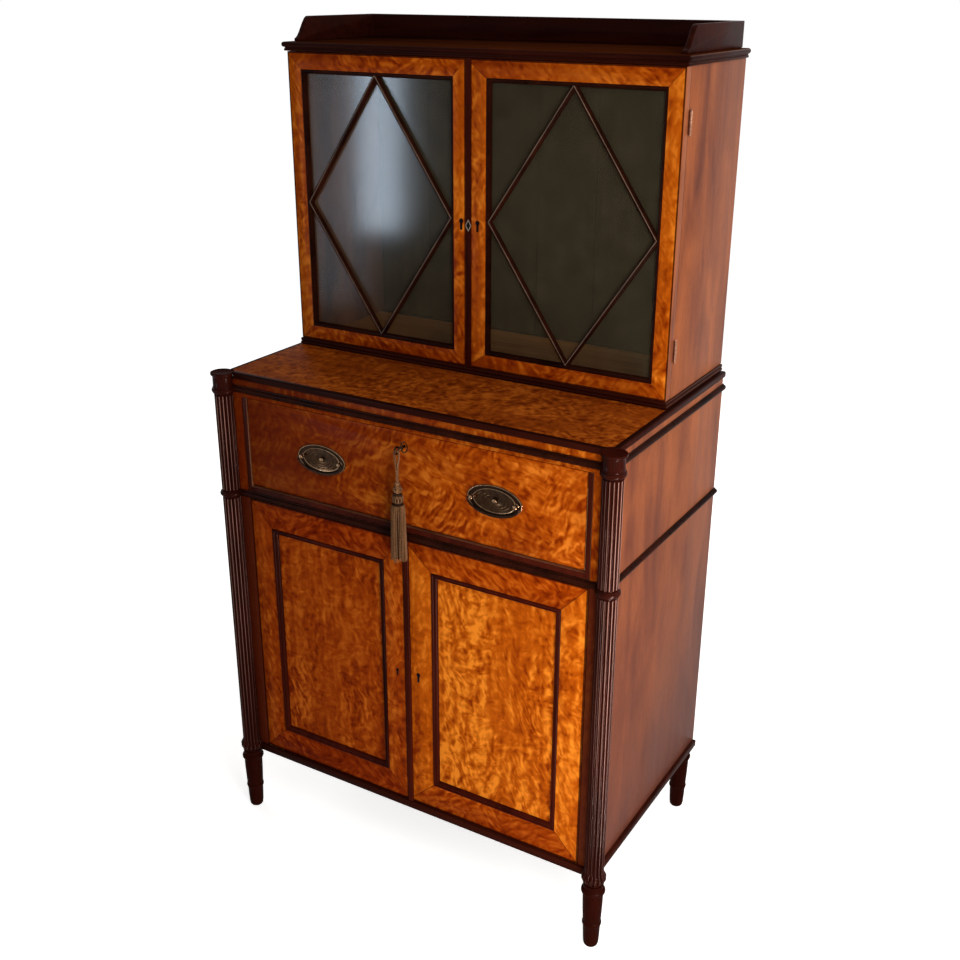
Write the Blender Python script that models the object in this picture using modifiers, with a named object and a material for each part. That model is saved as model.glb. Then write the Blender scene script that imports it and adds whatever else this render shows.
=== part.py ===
"""Secretaire cabinet: a glazed case on a desk with a fall-front drawer, reeded corner columns and a cupboard below.

Lengths are in metres, +Z is up and the front faces -Y. Depths are measured back from the face of the cupboard doors,
and the empty named cabinet carries that face forward so that the origin lies on the floor under the middle of the whole.
"""

import math

import bmesh
import bpy
from mathutils import Euler, Matrix, Vector

# Clearances
SEAT_GAP = 0.0003
SLIDE_PLAY = 0.0005
DOOR_GAP = 0.0015

# Lower case, stacked from the floor up
FOOT_HEIGHT = 0.136
BASE_THICK = 0.014
CUPBOARD_HEIGHT = 0.5405
DUST_THICK = 0.0145
DRAWER_BAY_HEIGHT = 0.1805
FRIEZE_HEIGHT = 0.0325
DESK_THICK = 0.012
CASE_WIDTH = 0.756
CASE_DEPTH = 0.460
SIDE_THICK = 0.020
BACK_THICK = 0.010
STILE_WIDTH = 0.031
STILE_THICK = 0.020
GUIDE_HEIGHT = 0.020

# Mouldings
MOULDING_PROUD = 0.006
MOULDING_ROUND = 0.0015
WAIST_MOULDING_HEIGHT = 0.013
FRIEZE_MOULDING_HEIGHT = 0.013
FRIEZE_MOULDING_LIFT = 0.0075
DESK_EDGE_PROUD = 0.004
DESK_EDGE_ROUND = 0.003

# Corner columns and rear feet
COLUMN_OUT = 0.0045
COLUMN_FORWARD = 0.009
CAP_RADIUS = 0.021
CAP_THICK = 0.0045
CAP_DROP = 0.001
NECK_RADIUS = 0.0178
RING_RADIUS = 0.0208
RING_HEIGHT = 0.0115
NECK_RING_DROP = 0.003
SHAFT_RADIUS = 0.0172
REED_COUNT = 16
REED_POINTS = 3
REED_DEPTH = 0.0024
FOOT_BULGE_RADIUS = 0.0216
FOOT_BULGE_HEIGHT = 0.016
FOOT_BULGE_LIFT = 0.0065
FOOT_COLLAR_RADIUS = 0.0212
FOOT_COLLAR_HEIGHT = 0.0095
FOOT_COLLAR_DROP = 0.0165
FOOT_TOP_RADIUS = 0.0175
FOOT_ANKLE_RADIUS = 0.0152
FOOT_BAND_RADIUS = 0.0170
FOOT_BAND_HEIGHT = 0.008
FOOT_BAND_Z = 0.049
FOOT_TOE_RADIUS = 0.0138
FOOT_SOLE_RADIUS = 0.0108
FOOT_TOE_HEIGHT = 0.010
REAR_FOOT_IN = 0.017
REAR_FOOT_FORWARD = 0.024
REAR_FOOT_SIDES = 24

# Upper case
UPPER_SET_BACK = 0.2065
UPPER_WIDTH = 0.744
UPPER_HEIGHT = 0.5157
UPPER_SIDE_THICK = 0.018
UPPER_FLOOR_THICK = 0.012
UPPER_FLOOR_PROUD = 0.0035
UPPER_TOP_THICK = 0.015
UPPER_TOP_PROUD = 0.008
UPPER_EDGE_ROUND = 0.0025
GALLERY_HEIGHT = 0.041
GALLERY_THICK = 0.009
GALLERY_IN = 0.006
GALLERY_BACK_IN = 0.005
GALLERY_FRONT_IN = 0.0135
GALLERY_OGEE_RUN = 0.036
GALLERY_OGEE_LIP = 0.005
GALLERY_OGEE_POINTS = 10

# Glazed doors
GLAZED_DOOR_THICK = 0.018
GLAZED_STILE = 0.027
GLAZED_MEETING = 0.031
GLAZED_TOP_RAIL = 0.029
GLAZED_BOTTOM_RAIL = 0.0255
GLASS_THICK = 0.003
SASH_WIDTH = 0.007
SASH_DEPTH = 0.009
ASTRAGAL_WIDTH = 0.0085
GLAZED_BEAD_PROUD = 0.003
MEETING_BEAD_WIDTH = 0.010
BUTT_LENGTH = 0.040
BUTT_LEAF = 0.0010
BUTT_LEAF_IN = 0.016
BUTT_RADIUS = 0.0024
BUTT_OUT = 0.003
BUTT_FROM_END = 0.080

# Cupboard doors
CUPBOARD_DOOR_THICK = 0.020
CUPBOARD_STILE = 0.0463
CUPBOARD_MEETING = 0.0489
CUPBOARD_RAIL = 0.050
PANEL_THICK = 0.008
PANEL_RECESS = 0.006
PANEL_MOULD_WIDTH = 0.012
PANEL_MOULD_PROUD = 0.0025
PANEL_MOULD_ROUND = 0.0012
CUPBOARD_BEAD_PROUD = 0.005
PIVOT_IN = 0.004
PIVOT_BACK = 0.003
PIVOT_RADIUS = 0.0015
PIVOT_REACH = 0.005
PIVOT_PLATE_LENGTH = 0.036
PIVOT_PLATE_WIDTH = 0.005
PIVOT_PLATE_THICK = 0.0018

# Secretaire drawer and its fall
DRAWER_SIDE_THICK = 0.008
DRAWER_BOTTOM_THICK = 0.0095
DRAWER_END_GAP = 0.012
DRAWER_BACK_THICK = 0.008
DRAWER_BEAD_PROUD = 0.0025
DRAWER_BEAD_ROUND = 0.0012
FALL_THICK = 0.016
FALL_EDGE_POINTS = 8
QUADRANT_RADIUS = 0.125
QUADRANT_WIDTH = 0.006
QUADRANT_THICK = 0.002
QUADRANT_STRAP = 0.012
QUADRANT_TAIL = 0.010
QUADRANT_POINTS = 14
FALL_PIN_RADIUS = 0.002

# Nest of pigeonholes
NEST_DEPTH = 0.205
NEST_HEIGHT = 0.144
NEST_BOARD = 0.006
NEST_SIDE_PLAY = 0.003
NEST_SIDE_BAY = 0.190
SMALL_BAY_HEIGHT = 0.046
SMALL_DRAWER_WALL = 0.005
SMALL_DRAWER_FRONT = 0.008
SMALL_DRAWER_LENGTH = 0.190
SMALL_KNOB_RADIUS = 0.006
SMALL_KNOB_LENGTH = 0.013

# Brass on the fall
HANDLE_OUT = 0.174
HANDLE_UP = 0.096
PLATE_LENGTH = 0.102
PLATE_HEIGHT = 0.053
PLATE_THICK = 0.002
PLATE_ROUND = 0.0006
PLATE_POINTS = 32
POST_OUT = 0.041
POST_RADIUS = 0.0042
POST_PROUD = 0.0085
BAIL_WIRE = 0.0016
BAIL_STANDOFF = 0.0045
BAIL_HALF_LENGTH = 0.049
BAIL_DROP = 0.0238
BAIL_POINTS = 15
LOCK_WIDTH = 0.060
LOCK_HEIGHT = 0.044
LOCK_THICK = 0.010
KEY_DOWN = 0.0255
KEY_SHANK_RADIUS = 0.0025
KEY_COLLAR_RADIUS = 0.0042
KEY_COLLAR_LENGTH = 0.003
KEY_BOW_RADIUS = 0.0057
KEY_BOW_WIRE = 0.0018
KEY_BOW_FORWARD = 0.022

# Tassel on the key
CORD_RADIUS = 0.0008
CORD_LOOP_PLAY = 0.0007
CORD_FOOT_SPREAD = 0.0018
TASSEL_HANG = 0.0555
TASSEL_NECK_LENGTH = 0.020
TASSEL_NECK_RADIUS = 0.0038
TASSEL_HEAD_LENGTH = 0.020
TASSEL_HEAD_RADIUS = 0.0105
TASSEL_SKIRT_LENGTH = 0.104
TASSEL_SKIRT_TOP_RADIUS = 0.0125
TASSEL_SKIRT_END_RADIUS = 0.0150
TASSEL_SIDES = 20

# Heights and half-widths that follow from the sizes above
HALF_CASE = CASE_WIDTH / 2
HALF_OPENING = HALF_CASE - STILE_WIDTH
HALF_INNER = HALF_CASE - SIDE_THICK
BASE_TOP = FOOT_HEIGHT + BASE_THICK
CUPBOARD_TOP = BASE_TOP + CUPBOARD_HEIGHT
DUST_TOP = CUPBOARD_TOP + DUST_THICK
DRAWER_BAY_TOP = DUST_TOP + DRAWER_BAY_HEIGHT
DESK_UNDER = DRAWER_BAY_TOP + FRIEZE_HEIGHT
DESK_TOP = DESK_UNDER + DESK_THICK
INNER_BACK = CASE_DEPTH - BACK_THICK
WAIST_MIDDLE = CUPBOARD_TOP + DUST_THICK / 2
FRIEZE_MOULDING_Z = DRAWER_BAY_TOP + FRIEZE_MOULDING_LIFT
FRIEZE_MOULDING_MIDDLE = FRIEZE_MOULDING_Z + FRIEZE_MOULDING_HEIGHT / 2
COLUMN_X = HALF_CASE + COLUMN_OUT
HALF_UPPER = UPPER_WIDTH / 2
UPPER_FLOOR_TOP = DESK_TOP + SEAT_GAP + UPPER_FLOOR_THICK
UPPER_TOP_UNDER = UPPER_FLOOR_TOP + UPPER_HEIGHT
UPPER_TOP_TOP = UPPER_TOP_UNDER + UPPER_TOP_THICK
BUTT_GAP = BUTT_LEAF + 2 * SEAT_GAP
BUTT_DEPTH = UPPER_SET_BACK + GLAZED_DOOR_THICK + BUTT_GAP / 2
UPPER_CASE_FRONT = UPPER_SET_BACK + GLAZED_DOOR_THICK + BUTT_GAP
BUTT_X = HALF_UPPER + BUTT_OUT
CUPBOARD_HUNG_EDGE = HALF_OPENING - DOOR_GAP
PIVOT_X = CUPBOARD_HUNG_EDGE - PIVOT_IN
HALF_BEAD = MEETING_BEAD_WIDTH / 2
DRAWER_FLOOR = DUST_TOP + SLIDE_PLAY
DRAWER_LENGTH = INNER_BACK - DRAWER_END_GAP
DRAWER_SIDE_OUT = HALF_OPENING - SLIDE_PLAY
DRAWER_SIDE_IN = DRAWER_SIDE_OUT - DRAWER_SIDE_THICK
DRAWER_TOP = DRAWER_BAY_TOP - 2 * SLIDE_PLAY
BOTTOM_TOP = DRAWER_FLOOR + DRAWER_BOTTOM_THICK
FALL_FOOT = BOTTOM_TOP + SLIDE_PLAY
FALL_AXIS_DEPTH = FALL_THICK / 2
FALL_AXIS_Z = FALL_FOOT + FALL_THICK / 2
QUADRANT_OUT = DRAWER_SIDE_IN - SEAT_GAP
HALF_FALL = QUADRANT_OUT - QUADRANT_THICK - SEAT_GAP
BED_TOP = FALL_FOOT + FALL_THICK
NEST_FOOT = BED_TOP + SEAT_GAP
NEST_BACK = DRAWER_LENGTH - DRAWER_BACK_THICK - SEAT_GAP
NEST_FRONT = NEST_BACK - NEST_DEPTH
HALF_NEST = DRAWER_SIDE_IN - NEST_SIDE_PLAY
HANDLE_Z = DUST_TOP + HANDLE_UP
BAIL_DEPTH = -(SEAT_GAP + PLATE_THICK + BAIL_STANDOFF)
KEY_Z = DRAWER_BAY_TOP - KEY_DOWN
BOW_LOW = KEY_Z - KEY_BOW_RADIUS
TASSEL_TOP = KEY_Z - TASSEL_HANG
COLUMN_SIDES = REED_COUNT * REED_POINTS
FRONT_REACH = COLUMN_FORWARD + FOOT_BULGE_RADIUS * math.cos(math.pi / COLUMN_SIDES)
FRONT_Y = (FRONT_REACH - CASE_DEPTH) / 2

PALETTE = {
    "satinwood": ((0.47, 0.16, 0.028), 0.30, 0.0),
    "crossbanding": ((0.40, 0.115, 0.020), 0.30, 0.0),
    "mahogany": ((0.23, 0.062, 0.032), 0.38, 0.0),
    "dark_mahogany": ((0.055, 0.017, 0.012), 0.32, 0.0),
    "ebonised": ((0.018, 0.009, 0.007), 0.28, 0.0),
    "lining": ((0.33, 0.16, 0.070), 0.55, 0.0),
    "brass": ((0.38, 0.25, 0.10), 0.35, 1.0),
    "bronzed_brass": ((0.14, 0.095, 0.055), 0.38, 1.0),
    "glass": ((0.62, 0.68, 0.64), 0.05, 0.0),
    "cord": ((0.27, 0.19, 0.095), 0.85, 0.0),
}

for old in list(bpy.data.objects):
    bpy.data.objects.remove(old, do_unlink=True)

PARTS = bpy.data.collections.new("secretaire_cabinet")
CUTTERS = bpy.data.collections.new("cutters")
for collection in (PARTS, CUTTERS):
    bpy.context.scene.collection.children.link(collection)

PIVOTS = {}


def finish_of(name):
    """The material of this finish, made the first time it is asked for."""
    found = bpy.data.materials.get(name)
    if found:
        return found
    colour, roughness, metallic = PALETTE[name]
    made = bpy.data.materials.new(name)
    made.use_nodes = True
    shader = made.node_tree.nodes["Principled BSDF"]
    shader.inputs["Base Color"].default_value = (*colour, 1.0)
    shader.inputs["Roughness"].default_value = roughness
    shader.inputs["Metallic"].default_value = metallic
    if name == "glass":
        shader.inputs["Transmission Weight"].default_value = 0.9
    return made


def pivot(name, at, parent=None):
    """An empty on a joint's axis, or on a slide's path, that carries the pieces of one moving body."""
    empty = bpy.data.objects.new(f"{name}_joint" if parent else name, None)
    PARTS.objects.link(empty)
    place = Vector(at)
    if parent:
        empty.parent = PIVOTS[parent][0]
        empty.location = place - PIVOTS[parent][1]
    else:
        empty.location = place
    PIVOTS[name] = (empty, place)


def place(obj, body):
    """Hangs an object, modelled at its place in the cabinet, from a body's empty."""
    empty, at = PIVOTS[body]
    obj.parent = empty
    obj.location = -at


def part(name, mesh, finish, body):
    """A named sub-part of the cabinet."""
    obj = bpy.data.objects.new(name, mesh)
    mesh.name = name
    mesh.materials.clear()
    mesh.materials.append(finish_of(finish))
    PARTS.objects.link(obj)
    place(obj, body)
    return obj


def helper(name, mesh, body="cabinet"):
    """A hidden shape that a Boolean cuts with or joins on."""
    obj = bpy.data.objects.new(name, mesh)
    CUTTERS.objects.link(obj)
    place(obj, body)
    obj.hide_render = True
    obj.display_type = "WIRE"
    return obj


def boolean(obj, meshes, operation, body):
    """Cuts these meshes out of a part, or joins them to it."""
    for index, mesh in enumerate(meshes):
        tool = helper(f"{obj.name}_{operation.lower()}_{index}", mesh, body)
        modifier = obj.modifiers.new(tool.name, "BOOLEAN")
        modifier.operation = operation
        modifier.object = tool
        modifier.solver = "EXACT"


def mesh_from(build, smooth=False):
    """A mesh filled by a function that takes a bmesh."""
    shape = bmesh.new()
    build(shape)
    bmesh.ops.recalc_face_normals(shape, faces=shape.faces[:])
    mesh = bpy.data.meshes.new("shape")
    shape.to_mesh(mesh)
    shape.free()
    if smooth:
        mesh.shade_smooth()
        mesh.set_sharp_from_angle(angle=math.radians(35))
    return mesh


def box(x, y, z):
    """A box between two values along each axis."""
    low = Vector((min(x), min(y), min(z)))
    high = Vector((max(x), max(y), max(z)))
    matrix = Matrix.Translation((low + high) / 2) @ Matrix.Diagonal((*(high - low), 1.0))
    return mesh_from(lambda shape: bmesh.ops.create_cube(shape, size=1.0, matrix=matrix))


def rod(radius, start, end, sides=24):
    """A round rod between two points."""
    start, end = Vector(start), Vector(end)
    turn = (end - start).to_track_quat("Z", "Y").to_matrix().to_4x4()
    matrix = Matrix.Translation((start + end) / 2) @ turn

    def build(shape):
        bmesh.ops.create_cone(
            shape,
            cap_ends=True,
            segments=sides,
            radius1=radius,
            radius2=radius,
            depth=(end - start).length,
            matrix=matrix,
        )

    return mesh_from(build, smooth=True)


def evaluated_mesh(obj, matrix):
    """The mesh that an object's modifiers or curve settings give, moved by a matrix, with its seams closed."""
    bpy.context.view_layer.update()
    graph = bpy.context.evaluated_depsgraph_get()
    mesh = bpy.data.meshes.new_from_object(obj.evaluated_get(graph))
    mesh.transform(matrix)
    shape = bmesh.new()
    shape.from_mesh(mesh)
    bmesh.ops.remove_doubles(shape, verts=shape.verts[:], dist=0.000002)
    bmesh.ops.recalc_face_normals(shape, faces=shape.faces[:])
    shape.to_mesh(mesh)
    shape.free()
    bpy.data.objects.remove(obj, do_unlink=True)
    return mesh


def slab(outlines, across, span, rounding=0.0):
    """A board with a flat outline, and holes in it, that runs between two values across the outline's plane.

    An outline lies in the plane of the other two axes, in their order. With rounding, the outline is the flat face's,
    and the board's edge swells past it by that much.
    """
    curve = bpy.data.curves.new("outline", "CURVE")
    curve.dimensions = "2D"
    curve.fill_mode = "BOTH"
    curve.extrude = abs(span[1] - span[0]) / 2 - rounding
    curve.bevel_depth = rounding
    curve.bevel_resolution = 1
    for outline in outlines:
        spline = curve.splines.new("POLY")
        spline.points.add(len(outline) - 1)
        for point, (u, v) in zip(spline.points, outline):
            point.co = (u, v, 0.0, 1.0)
        spline.use_cyclic_u = True
    obj = bpy.data.objects.new("outline", curve)
    bpy.context.scene.collection.objects.link(obj)
    right = math.pi / 2
    turns = {"X": Euler((right, 0.0, right)), "Y": Euler((right, 0.0, 0.0)), "Z": Euler((0.0, 0.0, 0.0))}
    middle = Vector((0.0, 0.0, 0.0))
    middle["XYZ".index(across)] = sum(span) / 2
    return evaluated_mesh(obj, Matrix.Translation(middle) @ turns[across].to_matrix().to_4x4())


def turned(profile, matrix, sides):
    """A turned piece from a profile of radius and height, listed from its top to its foot."""
    mesh = bpy.data.meshes.new("profile")
    edges = [(i, i + 1) for i in range(len(profile) - 1)]
    mesh.from_pydata([(radius, 0.0, height) for radius, height in profile], edges, [])
    obj = bpy.data.objects.new("profile", mesh)
    bpy.context.scene.collection.objects.link(obj)
    screw = obj.modifiers.new("turn", "SCREW")
    screw.axis = "Z"
    screw.steps = sides
    screw.render_steps = sides
    screw.use_merge_vertices = True
    screw.merge_threshold = 0.00001
    made = evaluated_mesh(obj, matrix)
    made.shade_smooth()
    made.set_sharp_from_angle(angle=math.radians(35))
    return made


def tube(points, radius, resolution=2):
    """A round wire along points, with closed ends."""
    curve = bpy.data.curves.new("wire", "CURVE")
    curve.dimensions = "3D"
    curve.bevel_depth = radius
    curve.bevel_resolution = resolution
    curve.use_fill_caps = True
    spline = curve.splines.new("POLY")
    spline.points.add(len(points) - 1)
    for target, point in zip(spline.points, points):
        target.co = (*point, 1.0)
    obj = bpy.data.objects.new("wire", curve)
    bpy.context.scene.collection.objects.link(obj)
    made = evaluated_mesh(obj, Matrix.Identity(4))
    made.shade_smooth()
    return made


def rectangle(x, z, inset=0.0):
    """The corners of a rectangle, drawn in by an inset."""
    return [
        (min(x) + inset, min(z) + inset),
        (max(x) - inset, min(z) + inset),
        (max(x) - inset, max(z) - inset),
        (min(x) + inset, max(z) - inset),
    ]


def half_round(half_width, proud, depth):
    """The plan of a half-round strip on a face at a depth, standing proud of it towards the front."""
    count = 7
    angles = [math.pi * i / (count - 1) for i in range(count)]
    return [(half_width * math.cos(a), depth - SEAT_GAP - (proud - SEAT_GAP) * math.sin(a)) for a in angles]


def bead(middle, height, inner, outer):
    """A turned bead's profile from top to foot."""
    angles = [math.radians(a) for a in (90, 45, 0, -45, -90)]
    return [(inner + (outer - inner) * math.cos(a), middle + height / 2 * math.sin(a)) for a in angles]


def foot_profile():
    """The turned leg below its collar, from the collar's top to the floor."""
    collar = FOOT_HEIGHT - FOOT_COLLAR_DROP
    return [
        *bead(collar, FOOT_COLLAR_HEIGHT, FOOT_TOP_RADIUS, FOOT_COLLAR_RADIUS),
        (FOOT_ANKLE_RADIUS + 0.0008, FOOT_BAND_Z + FOOT_BAND_HEIGHT / 2 + 0.001),
        *bead(FOOT_BAND_Z, FOOT_BAND_HEIGHT, FOOT_ANKLE_RADIUS, FOOT_BAND_RADIUS),
        (FOOT_TOE_RADIUS, FOOT_TOE_HEIGHT),
        (FOOT_SOLE_RADIUS + 0.7 * (FOOT_TOE_RADIUS - FOOT_SOLE_RADIUS), 0.3 * FOOT_TOE_HEIGHT),
        (FOOT_SOLE_RADIUS, 0.0),
    ]


def column_rings():
    """The column's rings from cap to floor: plain radius, height, and whether reeds cross it."""
    top = DESK_TOP - CAP_DROP
    neck_ring = FRIEZE_MOULDING_MIDDLE - NECK_RING_DROP
    bulge = FOOT_HEIGHT + FOOT_BULGE_LIFT
    cap_foot = top - CAP_THICK
    softened = CAP_RADIUS - 0.0008
    rings = [(softened, top, False), (CAP_RADIUS, top - 0.0008, False), (CAP_RADIUS, cap_foot, False)]
    rings += [(NECK_RADIUS, cap_foot - 0.0015, False)]
    rings += [(r, z, False) for r, z in bead(neck_ring, RING_HEIGHT, NECK_RADIUS, RING_RADIUS)]
    rings += [(SHAFT_RADIUS, neck_ring - RING_HEIGHT / 2 - 0.0015, True)]
    rings += [(SHAFT_RADIUS, WAIST_MIDDLE + RING_HEIGHT / 2 + 0.0015, True)]
    rings += [(r, z, False) for r, z in bead(WAIST_MIDDLE, RING_HEIGHT, SHAFT_RADIUS, RING_RADIUS)]
    rings += [(SHAFT_RADIUS, WAIST_MIDDLE - RING_HEIGHT / 2 - 0.0015, True)]
    rings += [(SHAFT_RADIUS, bulge + FOOT_BULGE_HEIGHT / 2 + 0.0015, True)]
    rings += [(r, z, False) for r, z in bead(bulge, FOOT_BULGE_HEIGHT, SHAFT_RADIUS, FOOT_BULGE_RADIUS)]
    rings += [(r, z, False) for r, z in foot_profile()]
    return rings


def reeded_column(side):
    """The loft of a column's rings, with convex reeds between its turned rings."""
    axis = Vector((side * COLUMN_X, -COLUMN_FORWARD, 0.0))

    def ring(shape, radius, height, reeded):
        made = []
        for i in range(COLUMN_SIDES):
            part_of_reed = (i % REED_POINTS) / REED_POINTS
            hollow = REED_DEPTH * (1 - min(1.0, math.sin(math.pi * part_of_reed) / math.sin(math.pi / REED_POINTS)))
            reach = radius - hollow if reeded else radius
            angle = 2 * math.pi * (i + 0.5) / COLUMN_SIDES
            out = Vector((side * reach * math.cos(angle), reach * math.sin(angle), height))
            made.append(shape.verts.new(axis + out))
        return made

    def build(shape):
        loops = [ring(shape, *spec) for spec in column_rings()]
        for upper, lower in zip(loops, loops[1:]):
            for i in range(COLUMN_SIDES):
                j = (i + 1) % COLUMN_SIDES
                shape.faces.new((upper[i], upper[j], lower[j], lower[i]))
        shape.faces.new(loops[0])
        shape.faces.new(loops[-1])
        bmesh.ops.triangulate(shape, faces=shape.faces[:])

    return mesh_from(build, smooth=True)


def corner_notches(side):
    """What a column is housed over: the case's corner and the three mouldings that run into it."""
    far_x = side * (HALF_CASE - 2 * CAP_RADIUS)
    far_y = 2 * CAP_RADIUS
    proud = MOULDING_PROUD + SEAT_GAP
    frieze = (FRIEZE_MOULDING_Z, FRIEZE_MOULDING_Z + FRIEZE_MOULDING_HEIGHT)
    waist = (WAIST_MIDDLE - WAIST_MOULDING_HEIGHT / 2, WAIST_MIDDLE + WAIST_MOULDING_HEIGHT / 2)
    corner_z = (BASE_TOP - BASE_THICK / 2, DESK_UNDER)
    notches = [box((far_x, side * (HALF_CASE + SEAT_GAP)), (-SEAT_GAP, far_y), corner_z)]
    for low, high in ((FOOT_HEIGHT, BASE_TOP), waist, frieze):
        reach = (low - SEAT_GAP, high + SEAT_GAP)
        notches.append(box((far_x, side * (HALF_CASE + proud)), (-proud, far_y), reach))
    return notches


def moulding_band(middle, height):
    """A moulding that returns along both sides of the lower case."""
    inner = HALF_CASE + SEAT_GAP + MOULDING_ROUND
    outer = HALF_CASE + MOULDING_PROUD - MOULDING_ROUND
    front_in = -(SEAT_GAP + MOULDING_ROUND)
    front_out = -(MOULDING_PROUD - MOULDING_ROUND)
    back = CASE_DEPTH - MOULDING_ROUND
    plan = [
        (-outer, back),
        (-outer, front_out),
        (outer, front_out),
        (outer, back),
        (inner, back),
        (inner, front_in),
        (-inner, front_in),
        (-inner, back),
    ]
    return slab([plan], "Z", (middle - height / 2, middle + height / 2), MOULDING_ROUND)


def make_pivots():
    """The empties that carry the moving bodies."""
    pivot("cabinet", (0.0, 0.0, 0.0))
    pivot("drawer", (0.0, 0.0, DRAWER_FLOOR), "cabinet")
    pivot("fall", (0.0, FALL_AXIS_DEPTH, FALL_AXIS_Z), "drawer")
    pivot("tassel", (0.0, -KEY_BOW_FORWARD, KEY_Z), "fall")
    pivot("key", (0.0, -KEY_BOW_FORWARD, KEY_Z), "fall")
    for side, name in ((-1, "left"), (1, "right")):
        pivot(f"{name}_bail", (side * HANDLE_OUT, BAIL_DEPTH, HANDLE_Z), "fall")
        pivot(f"{name}_small_drawer", (side * (HALF_NEST - NEST_SIDE_BAY / 2), NEST_FRONT, NEST_FOOT), "drawer")
        pivot(f"upper_{name}_door", (side * BUTT_X, BUTT_DEPTH, UPPER_FLOOR_TOP), "cabinet")
        pivot(f"lower_{name}_door", (side * PIVOT_X, PIVOT_BACK, BASE_TOP), "cabinet")


def pivot_plate_span(side):
    """Where a pivot's plate is let in, along X and in depth."""
    near = PIVOT_X + PIVOT_PLATE_WIDTH / 2
    x = (side * near, side * (near - PIVOT_PLATE_LENGTH))
    return x, (PIVOT_BACK - PIVOT_PLATE_WIDTH / 2, PIVOT_BACK + PIVOT_PLATE_WIDTH / 2)


def pivot_pockets(z):
    """The recesses for both doors' pivot plates over a stretch of height."""
    pockets = []
    for side in (-1, 1):
        x, y = pivot_plate_span(side)
        grown_x = (min(x) - SEAT_GAP, max(x) + SEAT_GAP)
        pockets.append(box(grown_x, (min(y) - SEAT_GAP, max(y) + SEAT_GAP), z))
    return pockets


def make_lower_case():
    """Boards, mouldings, columns and feet of the desk and cupboard."""
    pocket = PIVOT_PLATE_THICK + SEAT_GAP
    edge = HALF_CASE + MOULDING_PROUD - MOULDING_ROUND
    plan = rectangle((-edge, edge), (-MOULDING_PROUD + MOULDING_ROUND, CASE_DEPTH - MOULDING_ROUND))
    base = part("base_board", slab([plan], "Z", (FOOT_HEIGHT, BASE_TOP), MOULDING_ROUND), "ebonised", "cabinet")
    boolean(base, pivot_pockets((BASE_TOP - pocket, BASE_TOP + BASE_THICK)), "DIFFERENCE", "cabinet")

    board_z = (BASE_TOP + SEAT_GAP, DESK_UNDER - SEAT_GAP)
    for side, name in ((-1, "left"), (1, "right")):
        x = (side * HALF_INNER, side * HALF_CASE)
        part(f"lower_{name}_side", box(x, (STILE_THICK + SEAT_GAP, CASE_DEPTH), board_z), "mahogany", "cabinet")
        column = part(f"{name}_column", reeded_column(side), "dark_mahogany", "cabinet")
        boolean(column, corner_notches(side), "DIFFERENCE", "cabinet")
        foot_axis = Matrix.Translation((side * (HALF_CASE - REAR_FOOT_IN), CASE_DEPTH - REAR_FOOT_FORWARD, 0.0))
        foot_top = FOOT_HEIGHT - SEAT_GAP
        crown = [(0.0, foot_top), (FOOT_TOP_RADIUS, foot_top)]
        foot = turned([*crown, *foot_profile(), (0.0, 0.0)], foot_axis, REAR_FOOT_SIDES)
        part(f"rear_{name}_foot", foot, "dark_mahogany", "cabinet")

    half_back = HALF_INNER - SEAT_GAP
    part("lower_back", box((-half_back, half_back), (INNER_BACK, CASE_DEPTH), board_z), "lining", "cabinet")

    frame = [
        (-HALF_CASE, board_z[0]),
        (-HALF_OPENING, board_z[0]),
        (-HALF_OPENING, DRAWER_BAY_TOP),
        (HALF_OPENING, DRAWER_BAY_TOP),
        (HALF_OPENING, board_z[0]),
        (HALF_CASE, board_z[0]),
        (HALF_CASE, board_z[1]),
        (-HALF_CASE, board_z[1]),
    ]
    part("face_frame", slab([frame], "Y", (0.0, STILE_THICK)), "crossbanding", "cabinet")

    nose = HALF_OPENING - SEAT_GAP
    shoulder = STILE_THICK + SEAT_GAP
    board_back = INNER_BACK - SEAT_GAP
    board_span = (CUPBOARD_TOP, DUST_TOP)
    dust = part("dust_board", box((-half_back, half_back), (shoulder, board_back), board_span), "lining", "cabinet")
    boolean(dust, [box((-nose, nose), (0.0, 2 * shoulder), board_span)], "UNION", "cabinet")
    guide_z = (DUST_TOP - DUST_THICK / 2, DUST_TOP + GUIDE_HEIGHT)
    guide_y = (shoulder + SEAT_GAP, board_back - SEAT_GAP)
    guides = [
        box((side * (DRAWER_SIDE_OUT + 2 * SLIDE_PLAY), side * (half_back - SEAT_GAP)), guide_y, guide_z)
        for side in (-1, 1)
    ]
    boolean(dust, guides, "UNION", "cabinet")
    boolean(dust, pivot_pockets((CUPBOARD_TOP - DUST_THICK, CUPBOARD_TOP + pocket)), "DIFFERENCE", "cabinet")

    waist = moulding_band(WAIST_MIDDLE, WAIST_MOULDING_HEIGHT)
    part("waist_moulding", waist, "ebonised", "cabinet")
    frieze = moulding_band(FRIEZE_MOULDING_MIDDLE, FRIEZE_MOULDING_HEIGHT)
    part("frieze_moulding", frieze, "ebonised", "cabinet")

    edge = HALF_CASE + DESK_EDGE_PROUD - DESK_EDGE_ROUND
    plan = rectangle((-edge, edge), (-DESK_EDGE_PROUD + DESK_EDGE_ROUND, CASE_DEPTH - DESK_EDGE_ROUND))
    desk = part("desk_top", slab([plan], "Z", (DESK_UNDER, DESK_TOP), DESK_EDGE_ROUND), "satinwood", "cabinet")
    scribe = CAP_RADIUS + SEAT_GAP
    scribes = []
    for side in (-1, 1):
        low = (side * COLUMN_X, -COLUMN_FORWARD, DESK_UNDER - DESK_THICK)
        high = (side * COLUMN_X, -COLUMN_FORWARD, DESK_TOP + DESK_THICK)
        scribes.append(rod(scribe, low, high, sides=COLUMN_SIDES))
    boolean(desk, scribes, "DIFFERENCE", "cabinet")


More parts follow.
